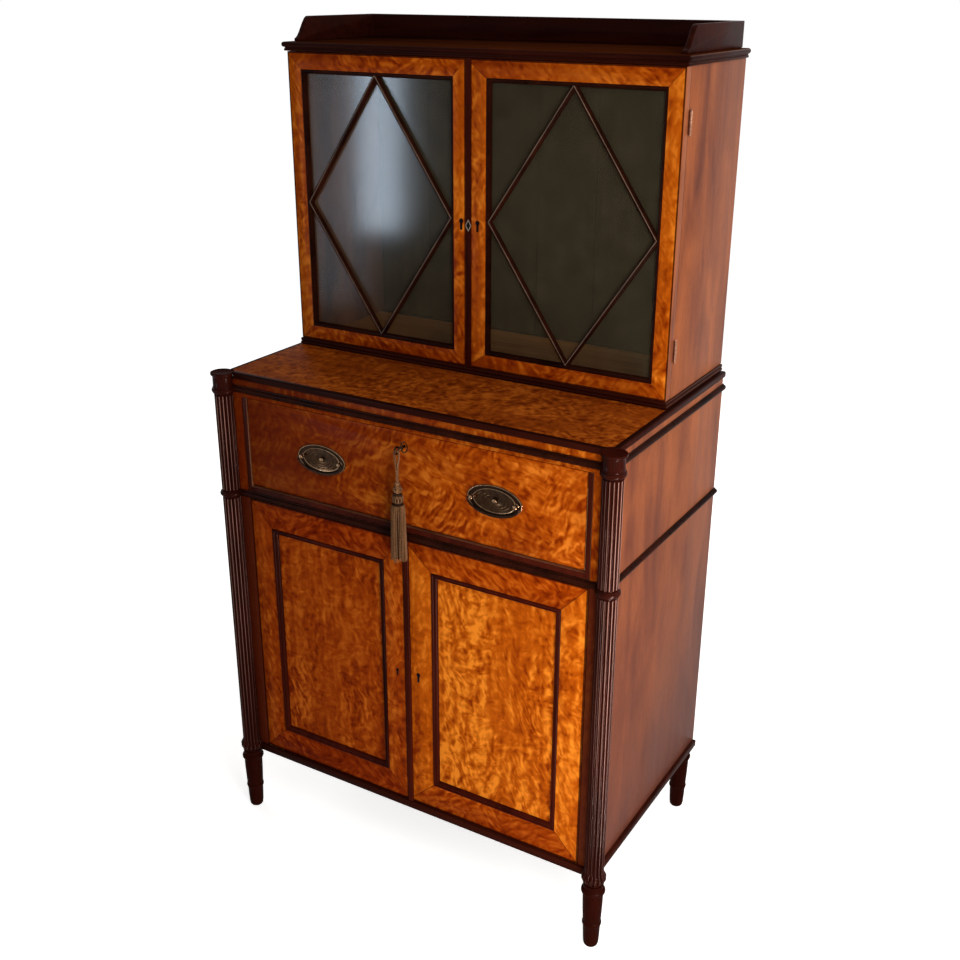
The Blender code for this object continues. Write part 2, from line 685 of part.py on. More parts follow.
def make_upper_case():
    """Boards and gallery of the glazed case."""
    edge = HALF_UPPER + UPPER_FLOOR_PROUD - MOULDING_ROUND
    front = UPPER_SET_BACK - UPPER_FLOOR_PROUD + MOULDING_ROUND
    plan = rectangle((-edge, edge), (front, CASE_DEPTH - MOULDING_ROUND))
    floor = slab([plan], "Z", (DESK_TOP + SEAT_GAP, UPPER_FLOOR_TOP), MOULDING_ROUND)
    part("upper_floor", floor, "mahogany", "cabinet")

    board_z = (UPPER_FLOOR_TOP + SEAT_GAP, UPPER_TOP_UNDER - SEAT_GAP)
    inner = HALF_UPPER - UPPER_SIDE_THICK
    for side, name in ((-1, "left"), (1, "right")):
        x = (side * inner, side * HALF_UPPER)
        part(f"upper_{name}_side", box(x, (UPPER_CASE_FRONT, CASE_DEPTH), board_z), "mahogany", "cabinet")
    x = (SEAT_GAP - inner, inner - SEAT_GAP)
    part("upper_back", box(x, (INNER_BACK, CASE_DEPTH), board_z), "lining", "cabinet")

    edge = HALF_UPPER + UPPER_TOP_PROUD - UPPER_EDGE_ROUND
    front = UPPER_SET_BACK - UPPER_TOP_PROUD + UPPER_EDGE_ROUND
    plan = rectangle((-edge, edge), (front, CASE_DEPTH - UPPER_EDGE_ROUND))
    top = slab([plan], "Z", (UPPER_TOP_UNDER, UPPER_TOP_TOP), UPPER_EDGE_ROUND)
    part("upper_top", top, "dark_mahogany", "cabinet")

    foot = UPPER_TOP_TOP + SEAT_GAP
    crest = UPPER_TOP_TOP + GALLERY_HEIGHT
    half_gallery = HALF_UPPER - GALLERY_IN
    back_out = CASE_DEPTH - GALLERY_BACK_IN
    back_in = back_out - GALLERY_THICK
    back = box((-half_gallery, half_gallery), (back_in, back_out), (foot, crest))
    gallery = part("gallery", back, "dark_mahogany", "cabinet")
    nose = UPPER_SET_BACK + GALLERY_FRONT_IN
    lip = foot + GALLERY_OGEE_LIP
    steps = [i / (GALLERY_OGEE_POINTS - 1) for i in range(GALLERY_OGEE_POINTS)]
    ogee = [(nose + GALLERY_OGEE_RUN * t, lip + (crest - lip) * t * t * (3 - 2 * t)) for t in steps]
    end_back = back_in + GALLERY_THICK / 2
    outline = [(end_back, foot), (nose, foot), *ogee, (end_back, crest)]
    ends = [slab([outline], "X", (side * (half_gallery - GALLERY_THICK), side * half_gallery)) for side in (-1, 1)]
    boolean(gallery, ends, "UNION", "cabinet")


def butt_hinge_plan(side):
    """A butt hinge seen from above: the leaf that is let in between door and case, and the barrel at its end."""
    reach = math.asin(BUTT_LEAF / 2 / BUTT_RADIUS)
    count = 17
    angles = [math.pi - reach - (2 * math.pi - 2 * reach) * i / (count - 1) for i in range(count)]
    barrel = [(BUTT_X + BUTT_RADIUS * math.cos(a), BUTT_DEPTH + BUTT_RADIUS * math.sin(a)) for a in angles]
    inner = HALF_UPPER - BUTT_LEAF_IN
    leaf = [(inner, BUTT_DEPTH - BUTT_LEAF / 2), (inner, BUTT_DEPTH + BUTT_LEAF / 2)]
    return [(side * x, y) for x, y in leaf + barrel]


def rhombus_sash(x, z):
    """The sash moulding round an opening with four astragals that join the middles of its sides.

    The first outline is the sash's outer edge and the rest are the five openings for light.
    """
    half_x = (max(x) - min(x)) / 2 - SASH_WIDTH
    half_z = (max(z) - min(z)) / 2 - SASH_WIDTH
    middle = Vector((sum(x) / 2, sum(z) / 2))
    share = ASTRAGAL_WIDTH / 2 * math.hypot(1 / half_x, 1 / half_z)
    rhombus = [(half_x, 0.0), (0.0, half_z), (-half_x, 0.0), (0.0, -half_z)]
    holes = [[(u * (1 - share), v * (1 - share)) for u, v in rhombus]]
    for su in (-1, 1):
        for sv in (-1, 1):
            corner = [(half_x, half_z), (half_x, half_z * share), (half_x * share, half_z)]
            holes.append([(su * u, sv * v) for u, v in corner])
    grown = [[(middle.x + u, middle.y + v) for u, v in hole] for hole in holes]
    return [rectangle(x, z, SEAT_GAP), *grown]


def make_glazed_doors():
    """Frames, glass, astragals, meeting bead and butt hinges of the upper doors."""
    door_z = (UPPER_FLOOR_TOP + DOOR_GAP / 2, UPPER_TOP_UNDER - DOOR_GAP / 2)
    opening_z = (door_z[0] + GLAZED_BOTTOM_RAIL, door_z[1] - GLAZED_TOP_RAIL)
    back = UPPER_SET_BACK + GLAZED_DOOR_THICK
    meeting_edges = {-1: -(HALF_BEAD + DOOR_GAP), 1: -HALF_BEAD}
    for side, name in ((-1, "left"), (1, "right")):
        body = f"upper_{name}_door"
        door_x = (side * HALF_UPPER, meeting_edges[side])
        opening_x = (side * GLAZED_MEETING, side * (HALF_UPPER - GLAZED_STILE))
        frame = slab([rectangle(door_x, door_z), rectangle(opening_x, opening_z)], "Y", (UPPER_SET_BACK, back))
        part(f"upper_{name}_door_frame", frame, "crossbanding", body)
        sash_front = UPPER_SET_BACK + SEAT_GAP
        sash = slab(rhombus_sash(opening_x, opening_z), "Y", (sash_front, sash_front + SASH_DEPTH))
        part(f"upper_{name}_astragals", sash, "ebonised", body)
        pane_front = sash_front + SASH_DEPTH + SEAT_GAP
        pane_x = (min(opening_x) + SEAT_GAP, max(opening_x) - SEAT_GAP)
        pane_z = (opening_z[0] + SEAT_GAP, opening_z[1] - SEAT_GAP)
        pane = box(pane_x, (pane_front, pane_front + GLASS_THICK), pane_z)
        part(f"upper_{name}_glass", pane, "glass", body)
        for level, middle in (("top", door_z[1] - BUTT_FROM_END), ("bottom", door_z[0] + BUTT_FROM_END)):
            span = (middle - BUTT_LENGTH / 2, middle + BUTT_LENGTH / 2)
            part(f"upper_{name}_{level}_hinge", slab([butt_hinge_plan(side)], "Z", span), "brass", "cabinet")
    strip = slab([half_round(HALF_BEAD, GLAZED_BEAD_PROUD, UPPER_SET_BACK)], "Z", door_z)
    part("upper_meeting_bead", strip, "dark_mahogany", "upper_right_door")


def make_cupboard_doors():
    """Frames, panels, mouldings, meeting bead and pivots of the lower doors."""
    door_z = (BASE_TOP + DOOR_GAP, CUPBOARD_TOP - DOOR_GAP)
    opening_z = (door_z[0] + CUPBOARD_RAIL, door_z[1] - CUPBOARD_RAIL)
    meeting_edges = {-1: -(HALF_BEAD + DOOR_GAP), 1: -HALF_BEAD}
    pocket = PIVOT_PLATE_THICK
    for side, name in ((-1, "left"), (1, "right")):
        body = f"lower_{name}_door"
        door_x = (side * CUPBOARD_HUNG_EDGE, meeting_edges[side])
        opening_x = (side * CUPBOARD_MEETING, side * (CUPBOARD_HUNG_EDGE - CUPBOARD_STILE))
        outlines = [rectangle(door_x, door_z), rectangle(opening_x, opening_z)]
        frame = part(f"lower_{name}_door_frame", slab(outlines, "Y", (0.0, CUPBOARD_DOOR_THICK)), "crossbanding", body)
        seat_x = (min(opening_x) + SEAT_GAP, max(opening_x) - SEAT_GAP)
        seat_z = (opening_z[0] + SEAT_GAP, opening_z[1] - SEAT_GAP)
        panel = box(seat_x, (PANEL_RECESS, PANEL_RECESS + PANEL_THICK), seat_z)
        part(f"lower_{name}_panel", panel, "satinwood", body)
        outer = rectangle(seat_x, seat_z, PANEL_MOULD_ROUND)
        inner = rectangle(seat_x, seat_z, PANEL_MOULD_WIDTH - PANEL_MOULD_ROUND)
        span = (-PANEL_MOULD_PROUD, PANEL_RECESS - SEAT_GAP)
        part(f"lower_{name}_panel_moulding", slab([outer, inner], "Y", span, PANEL_MOULD_ROUND), "ebonised", body)

        holes = []
        x, y = pivot_plate_span(side)
        levels = (
            ("bottom", (BASE_TOP - pocket, BASE_TOP), BASE_TOP + DOOR_GAP + PIVOT_REACH, 1),
            ("top", (CUPBOARD_TOP, CUPBOARD_TOP + pocket), CUPBOARD_TOP - DOOR_GAP - PIVOT_REACH, -1),
        )
        for level, plate_z, tip, up in levels:
            plate = part(f"lower_{name}_{level}_pivot", box(x, y, plate_z), "brass", "cabinet")
            root = (side * PIVOT_X, PIVOT_BACK, sum(plate_z) / 2)
            pin = rod(PIVOT_RADIUS, root, (root[0], root[1], tip), sides=16)
            boolean(plate, [pin], "UNION", "cabinet")
            deep = (root[0], root[1], tip + up * SLIDE_PLAY)
            holes.append(rod(PIVOT_RADIUS + SEAT_GAP, root, deep, sides=16))
        boolean(frame, holes, "DIFFERENCE", body)
    strip = slab([half_round(HALF_BEAD, CUPBOARD_BEAD_PROUD, 0.0)], "Z", door_z)
    part("lower_meeting_bead", strip, "dark_mahogany", "lower_right_door")


def make_drawer():
    """The secretaire drawer's box, its writing bed and the nest of pigeonholes."""
    soft = DRAWER_BEAD_ROUND
    front = soft - DRAWER_BEAD_PROUD
    for side, name in ((-1, "left"), (1, "right")):
        outline = rectangle((front, DRAWER_LENGTH - soft), (DRAWER_FLOOR + soft, DRAWER_TOP - soft))
        span = (side * DRAWER_SIDE_IN, side * DRAWER_SIDE_OUT)
        board = part(f"drawer_{name}_side", slab([outline], "X", span, soft), "mahogany", "drawer")
        low = (side * (DRAWER_SIDE_IN - DRAWER_SIDE_THICK), FALL_AXIS_DEPTH, FALL_AXIS_Z)
        high = (side * (DRAWER_SIDE_OUT + DRAWER_SIDE_THICK), FALL_AXIS_DEPTH, FALL_AXIS_Z)
        boolean(board, [rod(FALL_PIN_RADIUS + SEAT_GAP, low, high, sides=16)], "DIFFERENCE", "drawer")

    half = DRAWER_SIDE_IN - SEAT_GAP
    outline = rectangle((front, DRAWER_LENGTH - soft), (DRAWER_FLOOR + soft, BOTTOM_TOP - soft))
    part("drawer_bottom", slab([outline], "X", (-half, half), soft), "mahogany", "drawer")
    foot = BOTTOM_TOP + SEAT_GAP
    back = box((-half, half), (DRAWER_LENGTH - DRAWER_BACK_THICK, DRAWER_LENGTH), (foot, DRAWER_TOP))
    part("drawer_back", back, "lining", "drawer")
    bed = box((-HALF_FALL, HALF_FALL), (FALL_THICK + SLIDE_PLAY, NEST_BACK), (foot, BED_TOP))
    part("writing_bed", bed, "mahogany", "drawer")

    low, high = NEST_FOOT, NEST_FOOT + NEST_HEIGHT
    bay_low = low + NEST_BOARD
    shelf = bay_low + SMALL_BAY_HEIGHT
    bay_high = high - NEST_BOARD
    outlines = [rectangle((-HALF_NEST, HALF_NEST), (low, high))]
    for side in (-1, 1):
        outer = HALF_NEST - NEST_BOARD
        inner = outer - NEST_SIDE_BAY
        outlines.append(rectangle((side * outer, side * inner), (bay_low, shelf)))
        outlines.append(rectangle((side * outer, side * inner), (shelf + NEST_BOARD, bay_high)))
        outlines.append(rectangle((side * (inner - NEST_BOARD), side * NEST_BOARD / 2), (bay_low, bay_high)))
    part("pigeonhole_nest", slab(outlines, "Y", (NEST_FRONT, NEST_BACK)), "satinwood", "drawer")


def make_small_drawers():
    """The two little drawers in the nest, each with its turned knob."""
    low = NEST_FOOT + NEST_BOARD + SLIDE_PLAY
    high = NEST_FOOT + NEST_BOARD + SMALL_BAY_HEIGHT - SLIDE_PLAY
    for side, name in ((-1, "left"), (1, "right")):
        body = f"{name}_small_drawer"
        outer = HALF_NEST - NEST_BOARD - SLIDE_PLAY
        inner = outer - NEST_SIDE_BAY + 2 * SLIDE_PLAY
        x = (side * inner, side * outer)
        block = box(x, (NEST_FRONT, NEST_FRONT + SMALL_DRAWER_LENGTH), (low, high))
        drawer = part(body, block, "satinwood", body)
        wall = SMALL_DRAWER_WALL
        hollow_x = (min(x) + wall, max(x) - wall)
        hollow_y = (NEST_FRONT + SMALL_DRAWER_FRONT, NEST_FRONT + SMALL_DRAWER_LENGTH - wall)
        boolean(drawer, [box(hollow_x, hollow_y, (low + wall, high + wall))], "DIFFERENCE", body)
        radius, length = SMALL_KNOB_RADIUS, SMALL_KNOB_LENGTH
        profile = [
            (0.0, length),
            (0.6 * radius, 0.96 * length),
            (radius, 0.72 * length),
            (0.8 * radius, 0.48 * length),
            (0.45 * radius, 0.3 * length),
            (0.6 * radius, 0.0),
            (0.6 * radius, -SMALL_DRAWER_FRONT / 2),
            (0.0, -SMALL_DRAWER_FRONT / 2),
        ]
        at = Matrix.Translation((sum(x) / 2, NEST_FRONT, (low + high) / 2))
        knob = turned(profile, at @ Matrix.Rotation(math.pi / 2, 4, "X"), 16)
        boolean(drawer, [knob], "UNION", body)


def quadrant_outline():
    """A brass quadrant from its side: a strap on the fall's end and an arc about the fall's axis."""
    half = QUADRANT_STRAP / 2
    inner = QUADRANT_RADIUS - QUADRANT_WIDTH / 2
    outer = QUADRANT_RADIUS + QUADRANT_WIDTH / 2
    tail = math.asin(QUADRANT_TAIL / inner)

    def arc(radius, start, end):
        steps = [i / (QUADRANT_POINTS - 1) for i in range(QUADRANT_POINTS)]
        angles = [start + (end - start) * t for t in steps]
        return [(radius * math.cos(a), radius * math.sin(a)) for a in angles]

    outline = [(-half, -half), (half, -half)]
    outline += arc(inner, math.acos(half / inner), tail)
    outline += arc(outer, tail, math.acos(half / outer))
    outline += [(half, outer + half), (-half, outer + half)]
    return [(FALL_AXIS_DEPTH + u, FALL_AXIS_Z + v) for u, v in outline]


def make_fall():
    """The fall front, its brass quadrants and its lock."""
    half = FALL_THICK / 2
    turns = [math.pi + math.pi * i / (FALL_EDGE_POINTS - 1) for i in range(FALL_EDGE_POINTS)]
    edge = [(FALL_AXIS_DEPTH + half * math.cos(a), FALL_AXIS_Z + half * math.sin(a)) for a in turns]
    outline = [*edge, (FALL_THICK, DRAWER_TOP), (0.0, DRAWER_TOP)]
    fall = part("fall_front", slab([outline], "X", (-HALF_FALL, HALF_FALL)), "satinwood", "fall")
    keyhole = rod(KEY_SHANK_RADIUS + SEAT_GAP, (0.0, -FALL_THICK, KEY_Z), (0.0, 2 * FALL_THICK, KEY_Z))
    boolean(fall, [keyhole], "DIFFERENCE", "fall")

    for side, name in ((-1, "left"), (1, "right")):
        span = (side * (QUADRANT_OUT - QUADRANT_THICK), side * QUADRANT_OUT)
        quadrant = part(f"{name}_quadrant", slab([quadrant_outline()], "X", span), "brass", "fall")
        root = (side * (QUADRANT_OUT - QUADRANT_THICK / 2), FALL_AXIS_DEPTH, FALL_AXIS_Z)
        tip = (side * (DRAWER_SIDE_OUT - SLIDE_PLAY), FALL_AXIS_DEPTH, FALL_AXIS_Z)
        boolean(quadrant, [rod(FALL_PIN_RADIUS, root, tip, sides=16)], "UNION", "fall")

    lock_y = (FALL_THICK + SEAT_GAP, FALL_THICK + SEAT_GAP + LOCK_THICK)
    lock_top = DRAWER_TOP - SLIDE_PLAY
    lock = box((-LOCK_WIDTH / 2, LOCK_WIDTH / 2), lock_y, (lock_top - LOCK_HEIGHT, lock_top))
    part("fall_lock", lock, "brass", "fall")


def make_handles():
    """Oval plates with their posts, and the bails that swing in them."""
    for side, name in ((-1, "left"), (1, "right")):
        middle = Vector((side * HANDLE_OUT, 0.0, HANDLE_Z))
        angles = [2 * math.pi * i / PLATE_POINTS for i in range(PLATE_POINTS)]
        half_long = PLATE_LENGTH / 2 - PLATE_ROUND
        half_high = PLATE_HEIGHT / 2 - PLATE_ROUND
        oval = [(middle.x + half_long * math.cos(a), middle.z + half_high * math.sin(a)) for a in angles]
        face = -(SEAT_GAP + PLATE_THICK)
        plate = part(f"{name}_handle_plate", slab([oval], "Y", (face, -SEAT_GAP), PLATE_ROUND), "bronzed_brass", "fall")
        posts, bores = [], []
        for end in (-1, 1):
            x = middle.x + end * POST_OUT
            posts.append(rod(POST_RADIUS, (x, -PLATE_THICK, middle.z), (x, face - POST_PROUD, middle.z), sides=16))
            inner = (x - POST_RADIUS * 2, BAIL_DEPTH, middle.z)
            bores.append(rod(BAIL_WIRE + SEAT_GAP, inner, (x + POST_RADIUS * 2, BAIL_DEPTH, middle.z), sides=12))
        boolean(plate, posts, "UNION", "fall")
        boolean(plate, bores, "DIFFERENCE", "fall")

        arc = [math.pi * (0.06 + 0.88 * i / (BAIL_POINTS - 1)) for i in range(BAIL_POINTS)]
        hoop = [(-BAIL_HALF_LENGTH * math.cos(a), -BAIL_DROP * math.sin(a)) for a in arc]
        shoulder = POST_OUT + POST_RADIUS + BAIL_WIRE
        route = [(-POST_OUT, 0.0), (-shoulder, 0.0), *hoop, (shoulder, 0.0), (POST_OUT, 0.0)]
        points = [(middle.x + u, BAIL_DEPTH, middle.z + v) for u, v in route]
        part(f"{name}_bail", tube(points, BAIL_WIRE), "bronzed_brass", f"{name}_bail")


def make_key():
    """The key in the fall's lock, its bow upright."""
    tip = FALL_THICK - SLIDE_PLAY
    bow_back = -(KEY_BOW_FORWARD - KEY_BOW_RADIUS)
    collar = bow_back / 2
    profile = [
        (0.0, -bow_back),
        (KEY_SHANK_RADIUS * 0.7, -bow_back),
        (KEY_SHANK_RADIUS * 0.8, -collar + KEY_COLLAR_LENGTH / 2),
        *bead(-collar, KEY_COLLAR_LENGTH, KEY_SHANK_RADIUS, KEY_COLLAR_RADIUS),
        (KEY_SHANK_RADIUS, -tip),
        (0.0, -tip),
    ]
    turn = Matrix.Translation((0.0, 0.0, KEY_Z)) @ Matrix.Rotation(math.pi / 2, 4, "X")
    key = part("key", turned(profile, turn, 16), "bronzed_brass", "key")
    bpy.ops.mesh.primitive_torus_add(
        major_radius=KEY_BOW_RADIUS, minor_radius=KEY_BOW_WIRE, major_segments=24, minor_segments=8
    )
    ring = bpy.context.object
    at = Matrix.Translation((0.0, -KEY_BOW_FORWARD, KEY_Z)) @ Matrix.Rotation(math.pi / 2, 4, "Y")
    boolean(key, [evaluated_mesh(ring, at)], "UNION", "key")


def make_tassel():
    """The looped cord over the key's bow, and the tassel that hangs on it."""
    half = KEY_BOW_WIRE + CORD_RADIUS + CORD_LOOP_PLAY
    loop = [math.pi * i / 8 for i in range(9)]
    top = [(half * math.cos(a), BOW_LOW + half * math.sin(a)) for a in loop]
    foot = TASSEL_TOP + SEAT_GAP
    fall = [i / 6 for i in range(1, 7)]
    spread = [half + (CORD_FOOT_SPREAD - half) * t * t * (3 - 2 * t) for t in fall]
    heights = [BOW_LOW + (foot - BOW_LOW) * t for t in fall]
    right = [(u, v) for u, v in zip(spread, heights)]
    route = [*reversed(right), *top, *((-u, v) for u, v in right)]
    part("tassel_cord", tube([(u, -KEY_BOW_FORWARD, v) for u, v in route], CORD_RADIUS), "cord", "tassel")

    neck_foot = TASSEL_TOP - TASSEL_NECK_LENGTH
    head_foot = neck_foot - TASSEL_HEAD_LENGTH
    skirt_foot = head_foot - TASSEL_SKIRT_LENGTH
    waist = 0.75 * TASSEL_NECK_RADIUS
    profile = [(0.0, TASSEL_TOP), (TASSEL_NECK_RADIUS, TASSEL_TOP)]
    for share in (0.25, 0.7):
        middle = TASSEL_TOP - share * TASSEL_NECK_LENGTH
        profile += bead(middle, 0.4 * TASSEL_NECK_LENGTH, waist, 1.45 * TASSEL_NECK_RADIUS)
    profile += bead((neck_foot + head_foot) / 2, TASSEL_HEAD_LENGTH, 0.62 * TASSEL_HEAD_RADIUS, TASSEL_HEAD_RADIUS)
    profile += [
        (TASSEL_SKIRT_TOP_RADIUS, head_foot - 0.06 * TASSEL_SKIRT_LENGTH),
        (TASSEL_SKIRT_END_RADIUS, skirt_foot),
        (0.0, skirt_foot),
    ]
    part("tassel", turned(profile, Matrix.Translation((0.0, -KEY_BOW_FORWARD, 0.0)), TASSEL_SIDES), "cord", "tassel")


make_pivots()
make_lower_case()
make_upper_case()
make_glazed_doors()
make_cupboard_doors()
make_drawer()
make_small_drawers()
make_fall()
make_handles()
make_key()
make_tassel()
PIVOTS["cabinet"][0].location.y = FRONT_Y
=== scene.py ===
"""Visual model of a satinwood secretaire cabinet with glazed doors above and a cupboard below.

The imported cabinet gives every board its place. This script turns, moulds and softens the pieces that
show more than a plain board, makes the brass, the glass and the silk, and gives each surface its finish.
"""

import logging
import math
import random
from collections.abc import Callable, Iterator, Sequence
from contextlib import contextmanager
from dataclasses import dataclass
from enum import Enum

import bmesh
import bpy
from mathutils import Matrix, Quaternion, Vector


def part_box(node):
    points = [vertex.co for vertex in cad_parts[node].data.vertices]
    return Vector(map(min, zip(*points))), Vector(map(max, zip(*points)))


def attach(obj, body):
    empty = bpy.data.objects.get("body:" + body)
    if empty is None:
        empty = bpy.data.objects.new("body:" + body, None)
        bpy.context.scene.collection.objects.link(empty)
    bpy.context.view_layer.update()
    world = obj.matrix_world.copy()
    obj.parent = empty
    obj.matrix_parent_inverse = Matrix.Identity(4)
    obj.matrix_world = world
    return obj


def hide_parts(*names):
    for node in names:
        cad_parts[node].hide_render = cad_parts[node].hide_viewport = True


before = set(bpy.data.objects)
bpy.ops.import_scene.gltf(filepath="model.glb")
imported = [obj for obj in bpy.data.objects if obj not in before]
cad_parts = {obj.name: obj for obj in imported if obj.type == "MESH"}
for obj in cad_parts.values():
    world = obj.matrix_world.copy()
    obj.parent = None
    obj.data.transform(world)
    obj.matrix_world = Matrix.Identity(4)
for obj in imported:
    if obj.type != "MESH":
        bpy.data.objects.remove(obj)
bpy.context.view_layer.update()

log = logging.getLogger("secretaire")

Object = bpy.types.Object
Material = bpy.types.Material
Socket = bpy.types.NodeSocket
Pair = tuple[float, float]
Point = tuple[float, float, float]
Colour = tuple[float, float, float]
Quad = tuple[float, float, float, float]
Value = float | Sequence[float] | Socket
Test = Callable[[Vector, Vector], bool]

ORIGIN: Point = (0.0, 0.0, 0.0)
BLACK: Colour = (0.0, 0.0, 0.0)
WHITE: Quad = (1.0, 1.0, 1.0, 1.0)
QUARTER = math.pi / 2
UPRIGHT: Point = (QUARTER, 0.0, 0.0)
MERGE = 1e-6

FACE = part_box("fall_front")[0].y
UPPER_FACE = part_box("upper_left_door_frame")[0].y
CASE_HALF = 0.378
COLUMN_OUT = 0.3825


class Grain(Enum):
    """The way the grain of a board runs."""

    ALONG = 0
    DEEP = 1
    UP = 2

    def stretch(self, along: float, across: float) -> Point:
        """Return a scale for a pattern that runs with the grain."""
        return tuple(along if i == self.value else across for i in range(3))


class Slot(Enum):
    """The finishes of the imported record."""

    SATINWOOD = "satinwood"
    CROSSBANDING = "crossbanding"
    MAHOGANY = "mahogany"
    DARK_MAHOGANY = "dark_mahogany"
    EBONISED = "ebonised"
    BRASS = "brass"
    BRONZED_BRASS = "bronzed_brass"
    CORD = "cord"


class Side(Enum):
    """The left or the right of the cabinet, as its front is seen."""

    LEFT = -1
    RIGHT = 1

    @property
    def word(self) -> str:
        """The side's name as the pieces carry it."""
        return self.name.lower()


def deselect() -> None:
    """Go back to object mode with nothing selected."""
    if bpy.context.mode != "OBJECT":
        bpy.ops.object.mode_set(mode="OBJECT")
    bpy.ops.object.select_all(action="DESELECT")


def choose(*objs: Object) -> None:
    """Select these objects alone, the first of them active."""
    deselect()
    for obj in objs:
        obj.select_set(True)
    bpy.context.view_layer.objects.active = objs[0]


def linked(name: str, data: bpy.types.ID) -> Object:
    """Put new data in the scene as an object and return it."""
    obj = bpy.data.objects.new(name, data)
    bpy.context.scene.collection.objects.link(obj)
    return obj


def settle(obj: Object) -> Object:
    """Put an object's place, turn and scale into its mesh and return it."""
    choose(obj)
    bpy.ops.object.transform_apply(location=True, rotation=True, scale=True)
    return obj


def added(name: str, turn: Point = ORIGIN, scale: Point = (1.0, 1.0, 1.0)) -> Object:
    """Name the primitive that was just added, turn and scale it and settle it.

    Args:
        name: The piece's name.
        turn: Euler angles in radians.
        scale: Scale along the three axes, before the turn.

    Returns:
        The settled object.
    """
    obj = bpy.context.object
    obj.name = name
    obj.data.name = name
    obj.rotation_euler = turn
    obj.scale = scale
    return settle(obj)


@contextmanager
def editing(obj: Object, mode: str = "FACE") -> Iterator[None]:
    """Hold an object in edit mode with all of it selected.

    Args:
        obj: The mesh object to work on.
        mode: What is selected there, VERT, EDGE or FACE.
    """
    choose(obj)
    bpy.ops.object.mode_set(mode="EDIT")
    bpy.ops.mesh.select_mode(type=mode)
    bpy.ops.mesh.select_all(action="SELECT")
    try:
        yield
    finally:
        bpy.ops.object.mode_set(mode="OBJECT")


def pick_faces(obj: Object, test: Test) -> None:
    """Select in edit mode only the faces whose centre and normal pass a test."""
    bpy.ops.mesh.select_all(action="DESELECT")
    shape = bmesh.from_edit_mesh(obj.data)
    for face in shape.faces:
        face.select_set(test(face.calc_center_median(), face.normal))
    shape.select_flush_mode()
    bmesh.update_edit_mesh(obj.data)


def pick_edges(obj: Object, test: Test) -> None:
    """Select in edit mode only the edges whose two ends pass a test."""
    bpy.ops.mesh.select_all(action="DESELECT")
    shape = bmesh.from_edit_mesh(obj.data)
    for edge in shape.edges:
        edge.select_set(test(edge.verts[0].co, edge.verts[1].co))
    bmesh.update_edit_mesh(obj.data)


def push(offset: Sequence[float]) -> None:
    """Draw what is selected in edit mode out along a line."""
    bpy.ops.mesh.extrude_region_move(TRANSFORM_OT_translate={"value": offset})


def smooth(obj: Object, degrees: float = 35.0) -> Object:
    """Shade an object smooth but for edges sharper than an angle, and return it."""
    choose(obj)
    bpy.ops.object.shade_smooth_by_angle(angle=math.radians(degrees))
    return obj


def close_up(obj: Object, threshold: float = MERGE) -> None:
    """Merge an object's doubled points and turn its faces outwards."""
    with editing(obj, "VERT"):
        bpy.ops.mesh.remove_doubles(threshold=threshold)
        bpy.ops.mesh.normals_make_consistent(inside=False)


def joined(name: str, objs: Sequence[Object]) -> Object:
    """Join objects into one mesh and return it under a name."""
    choose(*objs)
    bpy.ops.object.join()
    obj = bpy.context.object
    obj.name = name
    obj.data.name = name
    return obj


def moved(obj: Object, move: Matrix) -> Object:
    """Copy an object with its own mesh, moved by a matrix."""
    twin = linked(obj.name, obj.data.copy())
    twin.matrix_world = move
    return settle(twin)


def apply_bevel(obj: Object, **settings: object) -> None:
    """Round the edges of an object where its faces meet at an angle."""
    choose(obj)
    made = obj.modifiers.new("bevel", "BEVEL")
    made.limit_method = "ANGLE"
    for key, value in settings.items():
        setattr(made, key, value)
    bpy.ops.object.modifier_apply(modifier=made.name)


def block(name: str, low: Sequence[float], high: Sequence[float], edge: float) -> Object:
    """A board between two corners with its edges eased.

    Args:
        name: The piece's name.
        low: The lowest corner.
        high: The highest corner.
        edge: How far the edges are rounded.

    Returns:
        The new object.
    """
    low_corner, high_corner = Vector(low), Vector(high)
    deselect()
    bpy.ops.mesh.primitive_cube_add(size=1.0, location=(low_corner + high_corner) / 2)
    obj = added(name, scale=tuple(high_corner - low_corner))
    apply_bevel(obj, width=edge, segments=3)
    return obj


def chain(name: str, points: Sequence[Sequence[float]]) -> Object:
    """A line of edges, drawn by extruding one point along the others."""
    route = [Vector(p) for p in points]
    deselect()
    bpy.ops.mesh.primitive_plane_add(size=0.002, location=route[0])
    obj = added(name)
    with editing(obj, "VERT"):
        bpy.ops.mesh.merge(type="CENTER")
        for last, point in zip(route, route[1:]):
            bpy.ops.mesh.extrude_vertices_move(TRANSFORM_OT_translate={"value": point - last})
    return obj


def turned(name: str, profile: Sequence[Pair], foot: Sequence[float], steps: int) -> Object:
    """A turning: a profile spun about an upright axis.

    Args:
        name: The piece's name.
        profile: Radius and height of each point, from the axis back to the axis.
        foot: A point on the axis at height nought.
        steps: Facets round the turning.

    Returns:
        The new object.
    """
    centre = Vector(foot)
    obj = chain(name, [centre + Vector((r, 0.0, z)) for r, z in profile])
    with editing(obj, "VERT"):
        bpy.ops.mesh.spin(steps=steps, angle=math.tau, center=centre, axis=(0.0, 0.0, 1.0))
    close_up(obj, 2 * MERGE)
    return smooth(obj, 40.0)


def half_turn(points: int) -> list[float]:
    """Return evenly spaced angles over half a turn, with both ends."""
    return [math.pi * i / (points - 1) for i in range(points)]


def full_turn(points: int) -> list[float]:
    """Return evenly spaced angles over a full turn, without its end."""
    return [math.tau * i / points for i in range(points)]


def arc(middle: float, height: float, inner: float, outer: float, points: int) -> list[Pair]:
    """Radius and height along a rounded bead, from its top to its foot."""
    turns = half_turn(points)
    return [(inner + (outer - inner) * math.sin(a), middle + height / 2 * math.cos(a)) for a in turns]


